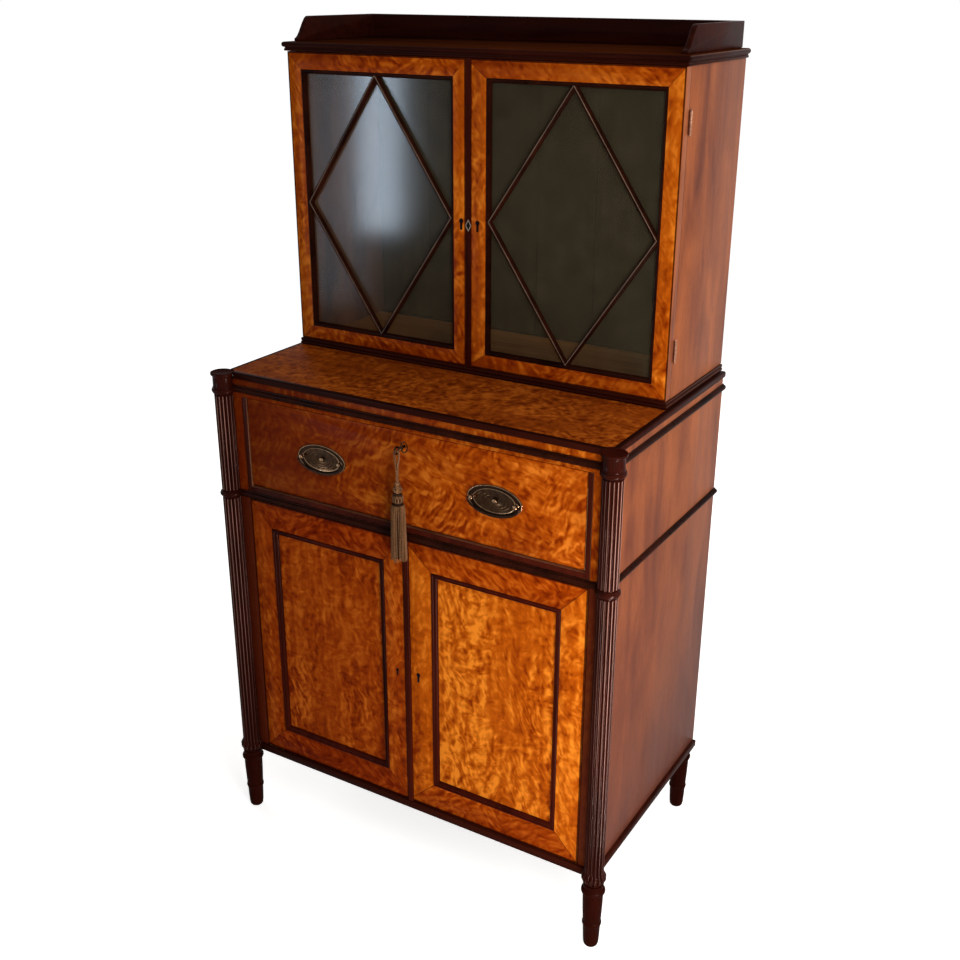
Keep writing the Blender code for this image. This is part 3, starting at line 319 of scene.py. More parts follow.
def strip(name: str, outline: Sequence[Sequence[float]], run: Sequence[float]) -> Object:
    """A straight moulding: a closed outline, filled and drawn out along a line.

    Args:
        name: The piece's name.
        outline: Points of the section in order, in space.
        run: How far and which way the section is drawn out.

    Returns:
        The new object.
    """
    obj = chain(name, outline)
    with editing(obj, "VERT"):
        bpy.ops.mesh.edge_face_add()
        bpy.ops.mesh.select_all(action="SELECT")
        push(Vector(run))
    close_up(obj)
    return smooth(obj)


def border(name: str, node: str, steps: Sequence[Pair]) -> Object:
    """A moulded border round the box of a packed moulding, made by insetting one face step after step.

    Args:
        name: The piece's name.
        node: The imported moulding.
        steps: How far in and how far forward each step goes; the depths add up to nought.

    Returns:
        The new object, with its back closed.
    """
    low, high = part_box(node)
    deselect()
    middle = ((low.x + high.x) / 2, high.y, (low.z + high.z) / 2)
    bpy.ops.mesh.primitive_plane_add(size=1.0, location=middle)
    obj = added(name, turn=UPRIGHT, scale=(high.x - low.x, high.z - low.z, 1.0))
    with editing(obj):
        for inward, forward in steps:
            bpy.ops.mesh.inset(thickness=inward, depth=forward, use_even_offset=True)
        bpy.ops.mesh.delete(type="FACE")
        bpy.ops.mesh.select_mode(type="EDGE")
        bpy.ops.mesh.select_non_manifold()
        bpy.ops.mesh.bridge_edge_loops()
    close_up(obj)
    return smooth(obj)


def wire(
    name: str,
    points: Sequence[Sequence[float]],
    radius: float,
    swell: Sequence[float] | None = None,
    closed: bool = False,
    sides: int = 3,
) -> Object:
    """A round wire or thread along points, as a mesh.

    Args:
        name: The piece's name.
        points: The points that it follows.
        radius: Its radius.
        swell: A factor on the radius at each point, if it swells.
        closed: Whether its end meets its start.
        sides: Roundness of the section.

    Returns:
        The new object.
    """
    deselect()
    line = bpy.data.curves.new(name, "CURVE")
    line.dimensions = "3D"
    line.bevel_depth = radius
    line.bevel_resolution = sides
    line.use_fill_caps = not closed
    run = line.splines.new("POLY")
    run.points.add(len(points) - 1)
    for i, point in enumerate(points):
        run.points[i].co = (*point, 1.0)
        run.points[i].radius = swell[i] if swell else 1.0
    run.use_cyclic_u = closed
    choose(linked(name, line))
    bpy.ops.object.convert(target="MESH")
    obj = bpy.context.object
    close_up(obj)
    return smooth(obj, 60.0)


def softened(node: str, edge: float, segments: int = 2) -> Object:
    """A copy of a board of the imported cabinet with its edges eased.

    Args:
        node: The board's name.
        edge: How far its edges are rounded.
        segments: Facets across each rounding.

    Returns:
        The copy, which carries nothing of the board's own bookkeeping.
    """
    obj = linked(f"{node}_eased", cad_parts[node].data.copy())
    obj.data.materials.clear()
    with editing(obj, "VERT"):
        bpy.ops.mesh.customdata_custom_splitnormals_clear()
        bpy.ops.mesh.remove_doubles(threshold=MERGE)
        bpy.ops.mesh.dissolve_limited(angle_limit=math.radians(2.0))
    apply_bevel(obj, width=edge, segments=segments, angle_limit=math.radians(40.0))
    return smooth(obj)


def coat(obj: Object, finish: Material) -> Object:
    """Give an object its first finish and return it."""
    obj.data.materials.append(finish)
    return obj


def part_coat(obj: Object, finish: Material, test: Test) -> None:
    """Give the faces of a piece whose centre and normal pass a test another finish."""
    obj.data.materials.append(finish)
    place = len(obj.data.materials) - 1
    for face in obj.data.polygons:
        if test(face.center, face.normal):
            face.material_index = place


def enter(piece: Object, body: str, finish: Material, nodes: Sequence[str] = ()) -> Object:
    """Give a piece its finish, the body that it moves with and the nodes that it stands for.

    Args:
        piece: The finished piece.
        body: The body of the cabinet that it rides on.
        finish: The piece's material, where it has none yet.
        nodes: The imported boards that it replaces.

    Returns:
        The piece.
    """
    if not piece.data.materials:
        coat(piece, finish)
    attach(piece, body)
    if nodes:
        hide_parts(*nodes)
    log.info("%s rides on %s", piece.name, body)
    return piece


def dress(node: str, finish: Material) -> None:
    """Give a packed board that is shown as it is its finish."""
    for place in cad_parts[node].material_slots:
        place.material = finish
    log.info("%s keeps its shape and takes %s", node, finish.name)


class NodeBoard:
    """The node tree of one material, with a call for each kind of node that the finishes use."""

    def __init__(self, name: str) -> None:
        """Start a material with its shader and the piece's own coordinates."""
        self.material = bpy.data.materials.new(name)
        self.material.use_nodes = True
        self.tree = self.material.node_tree
        self.shader = self.tree.nodes["Principled BSDF"]
        self.place = self.tree.nodes.new("ShaderNodeTexCoord").outputs["Object"]

    def feed(self, socket: Socket, value: Value) -> None:
        """Link a socket to another, or set it to a number or colour."""
        if isinstance(value, Socket):
            self.tree.links.new(value, socket)
        else:
            socket.default_value = value

    def node(self, kind: str, inputs: dict[str | int, Value], **settings: object) -> bpy.types.Node:
        """Add a node.

        Args:
            kind: The node's type.
            inputs: What its sockets take, by name or place.
            settings: Its other settings.

        Returns:
            The node.
        """
        made = self.tree.nodes.new(kind)
        for key, value in settings.items():
            setattr(made, key, value)
        for key, value in inputs.items():
            self.feed(made.inputs[key], value)
        return made

    def mapped(
        self, scale: Point, shift: Point = ORIGIN, source: Socket | None = None, turn: Point = ORIGIN
    ) -> Socket:
        """Return the piece's coordinates, or a source, moved, turned and scaled."""
        inputs = {"Vector": source or self.place, "Location": shift, "Rotation": turn, "Scale": scale}
        return self.node("ShaderNodeMapping", inputs).outputs[0]

    def noise(
        self,
        scale: float | Point,
        detail: float = 2.0,
        roughness: float = 0.5,
        distortion: float = 0.0,
        shift: Point = ORIGIN,
        source: Socket | None = None,
        output: int = 0,
    ) -> Socket:
        """Return a noise from nought to one.

        Args:
            scale: Its scale, the same each way or along the three axes.
            detail: How many finer layers it has.
            roughness: How strong they are.
            distortion: How far it is stirred.
            shift: How far the pattern is moved.
            source: Its coordinates, or None for the piece's own.
            output: Nought for one value, one for three independent ones.

        Returns:
            The noise.
        """
        stretch = scale if isinstance(scale, tuple) else (scale, scale, scale)
        inputs = {"Vector": self.mapped(stretch, shift, source), "Scale": 1.0, "Detail": detail}
        inputs |= {"Roughness": roughness, "Distortion": distortion}
        return self.node("ShaderNodeTexNoise", inputs).outputs[output]

    def vector(self, operation: str, *values: Value) -> Socket:
        """Return the result of one sum with vectors."""
        return self.node("ShaderNodeVectorMath", dict(enumerate(values)), operation=operation).outputs[0]

    def split(self) -> tuple[Socket, Socket, Socket]:
        """Return the piece's three coordinates apart."""
        made = self.node("ShaderNodeSeparateXYZ", {0: self.place})
        return made.outputs[0], made.outputs[1], made.outputs[2]

    def ramp(self, fac: Value, *stops: tuple[float, Colour]) -> Socket:
        """Return a colour that goes through the stops as a factor goes from nought to one."""
        made = self.node("ShaderNodeValToRGB", {0: fac})
        elements = made.color_ramp.elements
        elements.remove(elements[1])
        elements[0].position = stops[0][0]
        elements[0].color = (*stops[0][1], 1.0)
        for at, colour in stops[1:]:
            elements.new(at).color = (*colour, 1.0)
        return made.outputs[0]

    def level(self, fac: Value, low: float, high: float, start: float = 0.0, end: float = 1.0) -> Socket:
        """Return a factor carried from one range to another and held there."""
        return self.node("ShaderNodeMapRange", {0: fac, 1: low, 2: high, 3: start, 4: end}).outputs[0]

    def math(self, operation: str, first: Value, second: Value = 0.0, third: Value = 0.0) -> Socket:
        """Return the result of one sum."""
        return self.node("ShaderNodeMath", {0: first, 1: second, 2: third}, operation=operation).outputs[0]

    def total(self, start: float, *terms: tuple[Value, float]) -> Socket:
        """Return a number with weighted factors added to it."""
        result: Value = start
        for value, weight in terms:
            result = self.math("MULTIPLY_ADD", value, weight, result)
        return result

    def between(self, fac: Value, first: Value, second: Value) -> Socket:
        """Return a factor that goes from one to another."""
        return self.node("ShaderNodeMix", {0: fac, 2: first, 3: second}, data_type="FLOAT").outputs[0]

    def mix(self, fac: Value, first: Value, second: Value, blend: str = "MIX") -> Socket:
        """Return two colours mixed."""
        under = first if isinstance(first, Socket) else (*first, 1.0)
        over = second if isinstance(second, Socket) else (*second, 1.0)
        made = self.node("ShaderNodeMix", {0: fac, 6: under, 7: over}, data_type="RGBA", blend_type=blend)
        return made.outputs[2]

    def bump(self, height: Value, strength: float, distance: float) -> Socket:
        """Return a normal that follows a height."""
        inputs = {"Height": height, "Strength": strength, "Distance": distance}
        return self.node("ShaderNodeBump", inputs).outputs[0]

    def done(self, **inputs: Value) -> Material:
        """Feed the shader and return the material; a socket's words are joined by underscores."""
        for key, value in inputs.items():
            self.feed(self.shader.inputs[key.replace("_", " ")], value)
        return self.material


@dataclass(frozen=True)
class Satinwood:
    """Figured satinwood under old polish: mottled flecks across the grain over a golden ground."""

    name: str
    grain: Grain = Grain.UP
    dark: Colour = (0.26, 0.032, 0.0012)
    mid: Colour = (0.54, 0.103, 0.0036)
    light: Colour = (0.92, 0.272, 0.0195)
    lean: float = 0.0
    seed: float = 0.0
    mottle: float = 1.0
    roughness: float = 0.30
    calm: float = 0.55
    ground: float = 0.13
    patch: float = 0.0
    # Darkening towards the left, from the first x to the second and by the third amount: painted shade.
    painted_shade_left: Point | None = None
    gloss: float = 0.014
    pores: Colour = (0.16, 0.026, 0.003)
    # Colour of the darker patches of the wood and of the painted shade towards the left.
    aged_patch_and_shade: Colour = (0.15, 0.014, 0.0015)

    def figure(self, board: NodeBoard, grain: Grain, seed: float) -> tuple[Socket, Socket]:
        """Lay out the figure of one board.

        Args:
            board: The node board to draw on.
            grain: The way the grain runs.
            seed: Where in the log the board was cut.

        Returns:
            The colour and the height of the polish.
        """
        shift = (seed, 0.37 * seed, 0.71 * seed)
        swirl = board.noise(14.0, shift=shift, output=1)
        curled = board.vector("MULTIPLY_ADD", swirl, (0.034, 0.034, 0.034), board.place)
        grainy = board.vector("MULTIPLY_ADD", swirl, (0.008, 0.008, 0.008), board.place)

        def weave(
            along: float,
            across: float,
            detail: float,
            stir: float = 0.0,
            source: Socket | None = curled,
            roughness: float = 0.5,
        ) -> Socket:
            """Return a noise that runs with the grain."""
            return board.noise(grain.stretch(along, across), detail, roughness, stir, shift, source)

        def centred(fac: Socket, low: float = 0.3, high: float = 0.7) -> Socket:
            """Return a noise spread out round nought."""
            return board.level(fac, low, high, -0.5, 0.5)

        curl = weave(34.0, 39.0, 1.0, 0.4)
        edge = board.math("ABSOLUTE", board.math("SUBTRACT", curl, 0.5))
        gap = board.noise(grain.stretch(54.0, 36.0), 1.0, shift=(seed + 5.0, 2.0, 1.0), source=curled)
        strokes = board.math("MULTIPLY", board.level(edge, 0.0, 0.10, 1.0, 0.0), board.level(gap, 0.44, 0.56))
        ripple = self.sheen(board, curled, 0.0, 0.0075, grain.stretch(44.0, 54.0), shift)
        slants = []
        for lean in (self.lean - 38.0, self.lean + 34.0):
            slants.append(self.sheen(board, curled, lean, 0.0048, grain.stretch(42.0, 92.0), shift))
        region = weave(7.0, 11.0, 1.0, source=None)
        slant = board.between(board.level(region, 0.44, 0.56), slants[0], slants[1])
        lively = board.level(weave(4.0, 9.5, 1.0, source=None), 0.38, 0.58, self.calm, 1.0)
        blot = weave(17.0, 22.0, 2.0, 0.6)
        broad = weave(5.0, 9.0, 2.0)
        streak = weave(3.0, 75.0, 2.0, source=grainy)
        fine = weave(150.0, 150.0, 2.0)
        line = weave(16.0, 560.0, 3.0, roughness=0.6)
        lift = board.total(
            -0.06,
            (ripple, 1.2),
            (slant, 1.9),
            (centred(blot, 0.34, 0.66), 0.34),
            (strokes, -0.34),
            (centred(fine), 0.14),
        )
        tone = board.total(
            self.ground,
            (board.math("MULTIPLY", lift, lively), self.mottle),
            (broad, 0.78),
            (centred(streak), 0.32),
            (lively, 0.05),
        )
        colour = board.ramp(tone, (0.03, self.dark), (0.5, self.mid), (0.97, self.light))
        colour = board.mix(board.level(line, 0.56, 0.76, 0.0, 0.16), colour, self.pores)
        if self.patch:
            cloud = weave(4.0, 7.5, 2.0)
            colour = board.mix(board.level(cloud, 0.50, 0.68, 0.0, self.patch), colour, self.aged_patch_and_shade)
        # Painted shade: the colour darkens towards the left of the cabinet.
        if self.painted_shade_left:
            dull, clear, shade_amount = self.painted_shade_left
            colour = board.mix(board.level(board.split()[0], dull, clear, shade_amount, 0.0), colour, self.aged_patch_and_shade)
        return colour, board.math("MULTIPLY_ADD", curl, 0.5, line)

    def sheen(
        self, board: NodeBoard, source: Value, lean: float, step: float, scale: Point, shift: Point
    ) -> Socket:
        """Return the satiny light and shade on the two flanks of a pattern of waves.

        Args:
            board: The node board to draw on.
            source: The coordinates, already curled.
            lean: How far the waves lean, in degrees.
            step: How far apart the two flanks are looked at.
            scale: The scale of the waves.
            shift: Where in the log the board was cut.

        Returns:
            A factor round nought.
        """
        angle = math.radians(lean)
        flanks = []
        for half in (-0.5 * step, 0.5 * step):
            aside = (half * math.cos(angle), 0.0, -half * math.sin(angle) if lean else -0.6 * half)
            beside = board.vector("ADD", source, aside)
            leaning = board.mapped((1.0, 1.0, 1.0), source=beside, turn=(0.0, angle, 0.0))
            flanks.append(board.noise(scale, 1.0, 0.5, 0.4, shift, leaning))
        return board.math("SUBTRACT", flanks[1], flanks[0])

    def make(self) -> Material:
        """Return the finish as a material."""
        board = NodeBoard(self.name)
        colour, height = self.figure(board, self.grain, self.seed)
        return self.polish(board, self.inlay(board, colour), height)

    def inlay(self, board: NodeBoard, colour: Socket) -> Socket:
        """Return the colour with what is inlaid or stained on the board, here nothing."""
        return colour

    def polish(self, board: NodeBoard, colour: Value, height: Value) -> Material:
        """Return the material with an old polish over its colour.

        Args:
            board: The node board to draw on.
            colour: The wood's colour.
            height: The height of grain and flecks.

        Returns:
            The material.
        """
        rough = board.level(board.noise(9.0, 3.0), 0.3, 0.7, self.roughness - 0.05, self.roughness + 0.10)
        normal = board.bump(height, 0.10, 0.0006)
        return board.done(Base_Color=colour, Roughness=rough, Specular_IOR_Level=self.gloss, Normal=normal)


@dataclass(frozen=True)
class MitredFrame(Satinwood):
    """A door frame of satinwood whose rails and stiles meet in mitres, each with its own grain."""

    outer: Quad = (0.0, 0.0, 1.0, 1.0)
    widths: Quad = (0.05, 0.05, 0.05, 0.05)
    mottle: float = 0.75
    rail_shade: Colour = (0.80, 0.66, 0.60)
    string: float = 0.0034
    seam_colour: Colour = (0.045, 0.008, 0.002)
    string_colour: Colour = (0.030, 0.0045, 0.002)

    def make(self) -> Material:
        """Return the finish as a material."""
        board = NodeBoard(self.name)
        x, _, z = board.split()
        left, bottom, right, top = self.outer
        shares = []
        nearest: Value = 1.0
        ends = ((x, left, 1), (x, right, -1), (z, bottom, 1), (z, top, -1))
        for (value, end, sign), width in zip(ends, self.widths):
            away = board.math("MULTIPLY", board.math("SUBTRACT", value, end), sign)
            nearest = board.math("MINIMUM", nearest, away)
            shares.append(board.math("MULTIPLY", away, 1.0 / width))
        stile = board.math("MINIMUM", shares[0], shares[1])
        rail = board.math("MINIMUM", shares[2], shares[3])
        lead = board.math("SUBTRACT", stile, rail)
        on_rail = board.level(lead, -0.006, 0.006)
        upright, height_up = self.figure(board, Grain.UP, self.seed)
        level, height_along = self.figure(board, Grain.ALONG, self.seed + 3.1)
        colour = board.mix(on_rail, upright, board.mix(1.0, level, self.rail_shade, "MULTIPLY"))
        seam = board.level(board.math("ABSOLUTE", lead), 0.012, 0.026, 0.75, 0.0)
        colour = board.mix(seam, colour, self.seam_colour)
        edge = board.level(nearest, 0.75 * self.string, self.string, 0.9, 0.0)
        colour = board.mix(edge, colour, self.string_colour)
        change = board.math("MULTIPLY", on_rail, board.math("SUBTRACT", height_along, height_up))
        return self.polish(board, colour, board.math("ADD", height_up, change))


@dataclass(frozen=True)
class DeskBoard(Satinwood):
    """The ledge of the desk, with a dark string along its front and its ends."""

    half_width: float = 0.3735
    front: float = FACE + 0.0035
    blur: float = 0.0004
    string_colour: Colour = (0.018, 0.0035, 0.002)

    def inlay(self, board: NodeBoard, colour: Socket) -> Socket:
        """Return the colour with the string laid in."""
        x, y, _ = board.split()
        ends = board.math("ABSOLUTE", x)
        out = board.level(ends, self.half_width - self.blur, self.half_width + self.blur)
        fore = board.level(y, self.front - self.blur, self.front + self.blur, 1.0, 0.0)
        return board.mix(board.math("MAXIMUM", out, fore), colour, self.string_colour)


@dataclass(frozen=True)
class FaceStile(Satinwood):
    """The face of the case beside the doors: dark below the waist, satinwood beside the drawer."""

    waist: float = 0.6978
    stained: Colour = (0.075, 0.011, 0.004)

    def inlay(self, board: NodeBoard, colour: Socket) -> Socket:
        """Return the colour, made dark below the waist."""
        below = board.level(board.split()[2], self.waist - 0.001, self.waist + 0.001, 0.88, 0.0)
        return board.mix(below, colour, self.stained)


@dataclass(frozen=True)
class Mahogany:
    """Plain mahogany with a straight streaky grain."""

    name: str
    grain: Grain
    dark: Colour
    light: Colour
    roughness: float
    gloss: float
    streaks: float = 0.5
    # Darkening towards the floor, between two heights and by an amount: painted shade.
    foot: Point | None = None
    clouds: float = 0.3

    def make(self) -> Material:
        """Return the finish as a material."""
        board = NodeBoard(self.name)
        broad = board.noise(self.grain.stretch(1.3, 9.0), 3.0, 0.55, 0.5)
        streak = board.noise(self.grain.stretch(3.0, 75.0), 3.0, 0.6, 0.3)
        pore = board.noise(self.grain.stretch(45.0, 1100.0), 2.0, 0.6)
        cloud = board.noise(self.grain.stretch(4.0, 14.0), 2.0, 0.5, 0.8)
        start = 0.65 - 0.5 * self.streaks - 0.5 * self.clouds
        tone = board.total(start, (streak, self.streaks), (broad, 0.7), (cloud, self.clouds))
        colour = board.ramp(board.level(tone, 0.76, 1.22), (0.0, self.dark), (1.0, self.light))
        # Painted shade: darker towards the floor.
        if self.foot:
            low, high, shade_amount = self.foot
            colour = board.mix(board.level(board.split()[2], low, high, shade_amount, 0.0), colour, self.dark)
        mark = board.level(pore, 0.56, 0.72, 0.0, 0.55)
        colour = board.mix(mark, colour, tuple(0.35 * c for c in self.dark))
        rough = board.level(broad, 0.3, 0.7, self.roughness - 0.05, self.roughness + 0.09)
        normal = board.bump(pore, 0.12, 0.0004)
        return board.done(Base_Color=colour, Roughness=rough, Specular_IOR_Level=self.gloss, Normal=normal)


@dataclass(frozen=True)
class Ebonised:
    """Dark stained wood with rubbed edges."""

    name: str
    base: Colour = (0.009, 0.0022, 0.0012)
    rubbed: Colour = (0.040, 0.0085, 0.0040)
    roughness: float = 0.30
    gloss: float = 0.012

    def make(self) -> Material:
        """Return the finish as a material."""
        board = NodeBoard(self.name)
        broad = board.noise(14.0, 4.0, 0.6)
        fine = board.noise(260.0)
        tone = board.math("MULTIPLY_ADD", fine, 0.3, board.math("MULTIPLY", broad, 0.7))
        colour = board.ramp(board.level(tone, 0.36, 0.66), (0.0, self.base), (1.0, self.rubbed))
        rough = board.level(broad, 0.3, 0.7, self.roughness - 0.08, self.roughness + 0.10)
        normal = board.bump(fine, 0.06, 0.0004)
        return board.done(Base_Color=colour, Roughness=rough, Specular_IOR_Level=self.gloss, Normal=normal)


@dataclass(frozen=True)
class Metal:
    """Old brass, dull in its hollows and bright where hands have worn it."""

    name: str
    base: Colour = (0.62, 0.40, 0.16)
    dull: Colour = (0.20, 0.11, 0.045)
    roughness: float = 0.30

    def make(self) -> Material:
        """Return the finish as a material."""
        board = NodeBoard(self.name)
        stain = board.noise(160.0, 4.0, 0.6, 0.4)
        fine = board.noise(900.0)
        colour = board.ramp(board.level(stain, 0.30, 0.70), (0.0, self.dull), (1.0, self.base))
        rough = board.level(stain, 0.3, 0.7, self.roughness + 0.15, self.roughness - 0.06)
        normal = board.bump(fine, 0.05, 0.0003)
        return board.done(Base_Color=colour, Metallic=1.0, Roughness=rough, Normal=normal)


@dataclass(frozen=True)
class OldGlass:
    """Thin drawn glass, a little wavy and dusty."""

    name: str
    tint: Colour = (0.070, 0.058, 0.034)
    alpha: float = 0.30
    dusty: float = 2.2

    def make(self) -> Material:
        """Return the finish as a material."""
        board = NodeBoard(self.name)
        wave = board.noise((7.0, 7.0, 3.0), 1.0, 0.4)
        dust = board.level(board.noise(26.0, 4.0, 0.6), 0.4, 0.8, 0.0, 0.5)
        return board.done(
            Base_Color=board.mix(dust, self.tint, tuple(self.dusty * c for c in self.tint)),
            Roughness=0.10,
            IOR=1.6,
            Specular_IOR_Level=0.03,
            Alpha=self.alpha,
            Normal=board.bump(wave, 0.05, 0.004),
        )


@dataclass(frozen=True)
class Silk:
    """Drab gold silk, spun in plies that show as slanting stripes along each thread."""

    name: str
    dark: Colour = (0.034, 0.013, 0.005)
    light: Colour = (0.40, 0.190, 0.082)
    pitch: float = 0.0022
    sheen: float = 0.04

    def make(self) -> Material:
        """Return the finish as a material."""
        board = NodeBoard(self.name)
        x, y, z = board.split()
        slant = board.math("MULTIPLY_ADD", board.math("ADD", x, y), 0.9, z)
        ply = board.math("SINE", board.math("MULTIPLY", slant, math.tau / self.pitch))
        fibre = board.noise((1400.0, 1400.0, 240.0), 2.0, 0.6)
        shade = board.noise((190.0, 190.0, 16.0))
        spun = board.math("MULTIPLY_ADD", fibre, 0.4, board.math("MULTIPLY", shade, 0.6))
        tone = board.math("MULTIPLY_ADD", ply, 0.20, spun)
        return board.done(
            Base_Color=board.ramp(board.level(tone, 0.25, 0.80), (0.0, self.dark), (1.0, self.light)),
            Roughness=0.62,
            Specular_IOR_Level=0.06,
            Sheen_Weight=self.sheen,
            Sheen_Roughness=0.4,
            Normal=board.bump(board.math("ADD", ply, fibre), 0.35, 0.0004),
        )


@dataclass(frozen=True)
class PlainBoards:
    """Unpolished boards side by side, as on backs and linings."""

    name: str
    grain: Grain = Grain.UP
    across: Grain = Grain.ALONG
    width: float = 0.119
    dark: Colour = (0.085, 0.040, 0.018)
    light: Colour = (0.26, 0.145, 0.070)
    sawn: float = 0.25
    relief: float = 0.25
    seam_colour: Colour = (0.010, 0.005, 0.003)

    def make(self) -> Material:
        """Return the finish as a material."""
        board = NodeBoard(self.name)
        count = board.math("MULTIPLY", board.split()[self.across.value], 1.0 / self.width)
        number = board.math("FLOOR", count)
        away = board.math("ABSOLUTE", board.math("SUBTRACT", board.math("FRACT", count), 0.5))
        seam = board.level(away, 0.485, 0.496, 0.0, 0.85)
        rise = board.math("MULTIPLY", number, 0.7)
        step = board.node("ShaderNodeCombineXYZ", {0: number, 1: number, 2: rise})
        apart = board.vector("ADD", board.place, step.outputs[0])
        streak = board.noise(self.grain.stretch(2.0, 60.0), 3.0, 0.6, 0.5, source=apart)
        stain = board.noise(5.0, 4.0, 0.6, source=apart)
        saw = board.noise(self.grain.stretch(320.0, 6.0), 1.0)
        tone = board.math("MULTIPLY_ADD", streak, 0.55, board.math("MULTIPLY", stain, 0.5))
        colour = board.ramp(board.level(tone, 0.36, 0.70), (0.0, self.dark), (1.0, self.light))
        height = board.math("SUBTRACT", board.math("MULTIPLY_ADD", saw, self.sawn, streak), seam)
        return board.done(
            Base_Color=board.mix(seam, colour, self.seam_colour),
            Roughness=0.68,
            Specular_IOR_Level=0.05,
            Normal=board.bump(height, self.relief, 0.0008),
        )


def shades_of(polish: Colour) -> dict[str, Colour]:
    """Return satinwood's three colours multiplied channel by channel: a darker tone for the fall and the face
    stiles, and painted shade on the left cupboard door.
    """
    names = ("dark", "mid", "light")
    return {name: tuple(a * b for a, b in zip(getattr(Satinwood, name), polish)) for name in names}


class Finishes:
    """Every material that more than one sub-assembly takes."""

    def __init__(self) -> None:
        """Make the materials."""
        dark, rich = (0.012, 0.0018, 0.0010), (0.054, 0.0078, 0.0038)
        up, along = Grain.UP, Grain.ALONG
        self.column = Mahogany("polished_column", up, dark, rich, 0.20, 0.024).make()
        self.cap = Mahogany("cap_mahogany", along, dark, rich, 0.5, 0.004).make()
        self.foot = Mahogany("leg_mahogany", up, dark, (0.040, 0.0060, 0.0030), 0.36, 0.006).make()
        low, high = (0.016, 0.002, 0.001), (0.080, 0.0095, 0.0036)
        self.bead = Mahogany("bead_mahogany", up, low, high, 0.28, 0.018).make()
        self.dark_edge = Mahogany("dark_edge", along, dark, (0.046, 0.0078, 0.0036), 0.34, 0.016).make()
        # The sides darken towards the floor: painted shade.
        low, high, painted_shade_low = (0.118, 0.034, 0.025), (0.45, 0.135, 0.050), (0.12, 0.92, 0.74)
        self.side = Mahogany("mahogany_side", up, low, high, 0.38, 0.04, 0.22, painted_shade_low, 0.7).make()
        # A painted highlight on one flank of each reed, fading into painted shade towards the floor.
        low, high, painted_shade_low = (0.045, 0.014, 0.010), (0.58, 0.300, 0.235), (0.18, 0.62, 0.92)
        self.crest = Mahogany("painted_reed_highlight", up, low, high, 0.30, 0.05, foot=painted_shade_low).make()
        self.ebony = Ebonised("ebonised_moulding").make()
        self.bone = Ebonised("inlaid_bone", (0.24, 0.20, 0.16), (0.40, 0.35, 0.29), 0.5, 0.1).make()
        # Near-black for keyholes: painted shade in place of the holes.
        self.keyhole = Ebonised("keyhole_painted_shade", (0.002, 0.001, 0.001), (0.006, 0.003, 0.002), 0.8, 0.1).make()
        # A painted highlight for the glazing bars.
        self.rubbed = Ebonised("painted_bar_highlight", (0.085, 0.056, 0.038), (0.28, 0.20, 0.14), 0.35, 0.10).make()
        self.brass = Metal("old_brass").make()
        self.coppery = Metal("coppery_brass", (0.50, 0.27, 0.18), (0.24, 0.11, 0.065), 0.28).make()
        self.bronzed = Metal("bronzed_brass", (0.046, 0.023, 0.011), (0.022, 0.010, 0.005), 0.24).make()
        self.recess = Metal("bronzed_recess", (0.030, 0.014, 0.008), (0.014, 0.007, 0.004), 0.34).make()
        # Bright metal for raised rims, posts and boss: wear, and a painted highlight as well.
        self.worn = Metal("worn_and_highlit_bronze", (0.26, 0.160, 0.092), (0.110, 0.062, 0.033), 0.20).make()
        self.lining = PlainBoards("mahogany_lining", Grain.DEEP, along, 0.169).make()
        self.silk = Silk("drab_gold_silk").make()
        # Near-black silk for the skirt's heart and the turban's core: painted shade between threads and ribs;
        # the binding under the turban takes it too.
        self.silk_shade = Silk("silk_painted_shade", (0.012, 0.005, 0.002), (0.045, 0.020, 0.009), sheen=0.0).make()


@dataclass
class Viewpoint:
    """The camera where the photograph was taken."""

    place: Point = (1.063749, -1.538272, 1.570794)
    turn: Quad = (0.800906, 0.536310, 0.146791, 0.222201)
    lens: float = 45.287
    sensor: float = 36.0

    def build(self) -> None:
        """Make the camera and hand the scene to it; its place is measured from the drawer's face."""
        data = bpy.data.cameras.new("viewpoint")
        data.lens = self.lens
        data.sensor_width = self.sensor
        camera = linked("viewpoint", data)
        camera.rotation_mode = "QUATERNION"
        camera.rotation_quaternion = Quaternion(self.turn).normalized()
        camera.location = Vector(self.place) + Vector((0.0, FACE, 0.0))
        bpy.context.scene.camera = camera


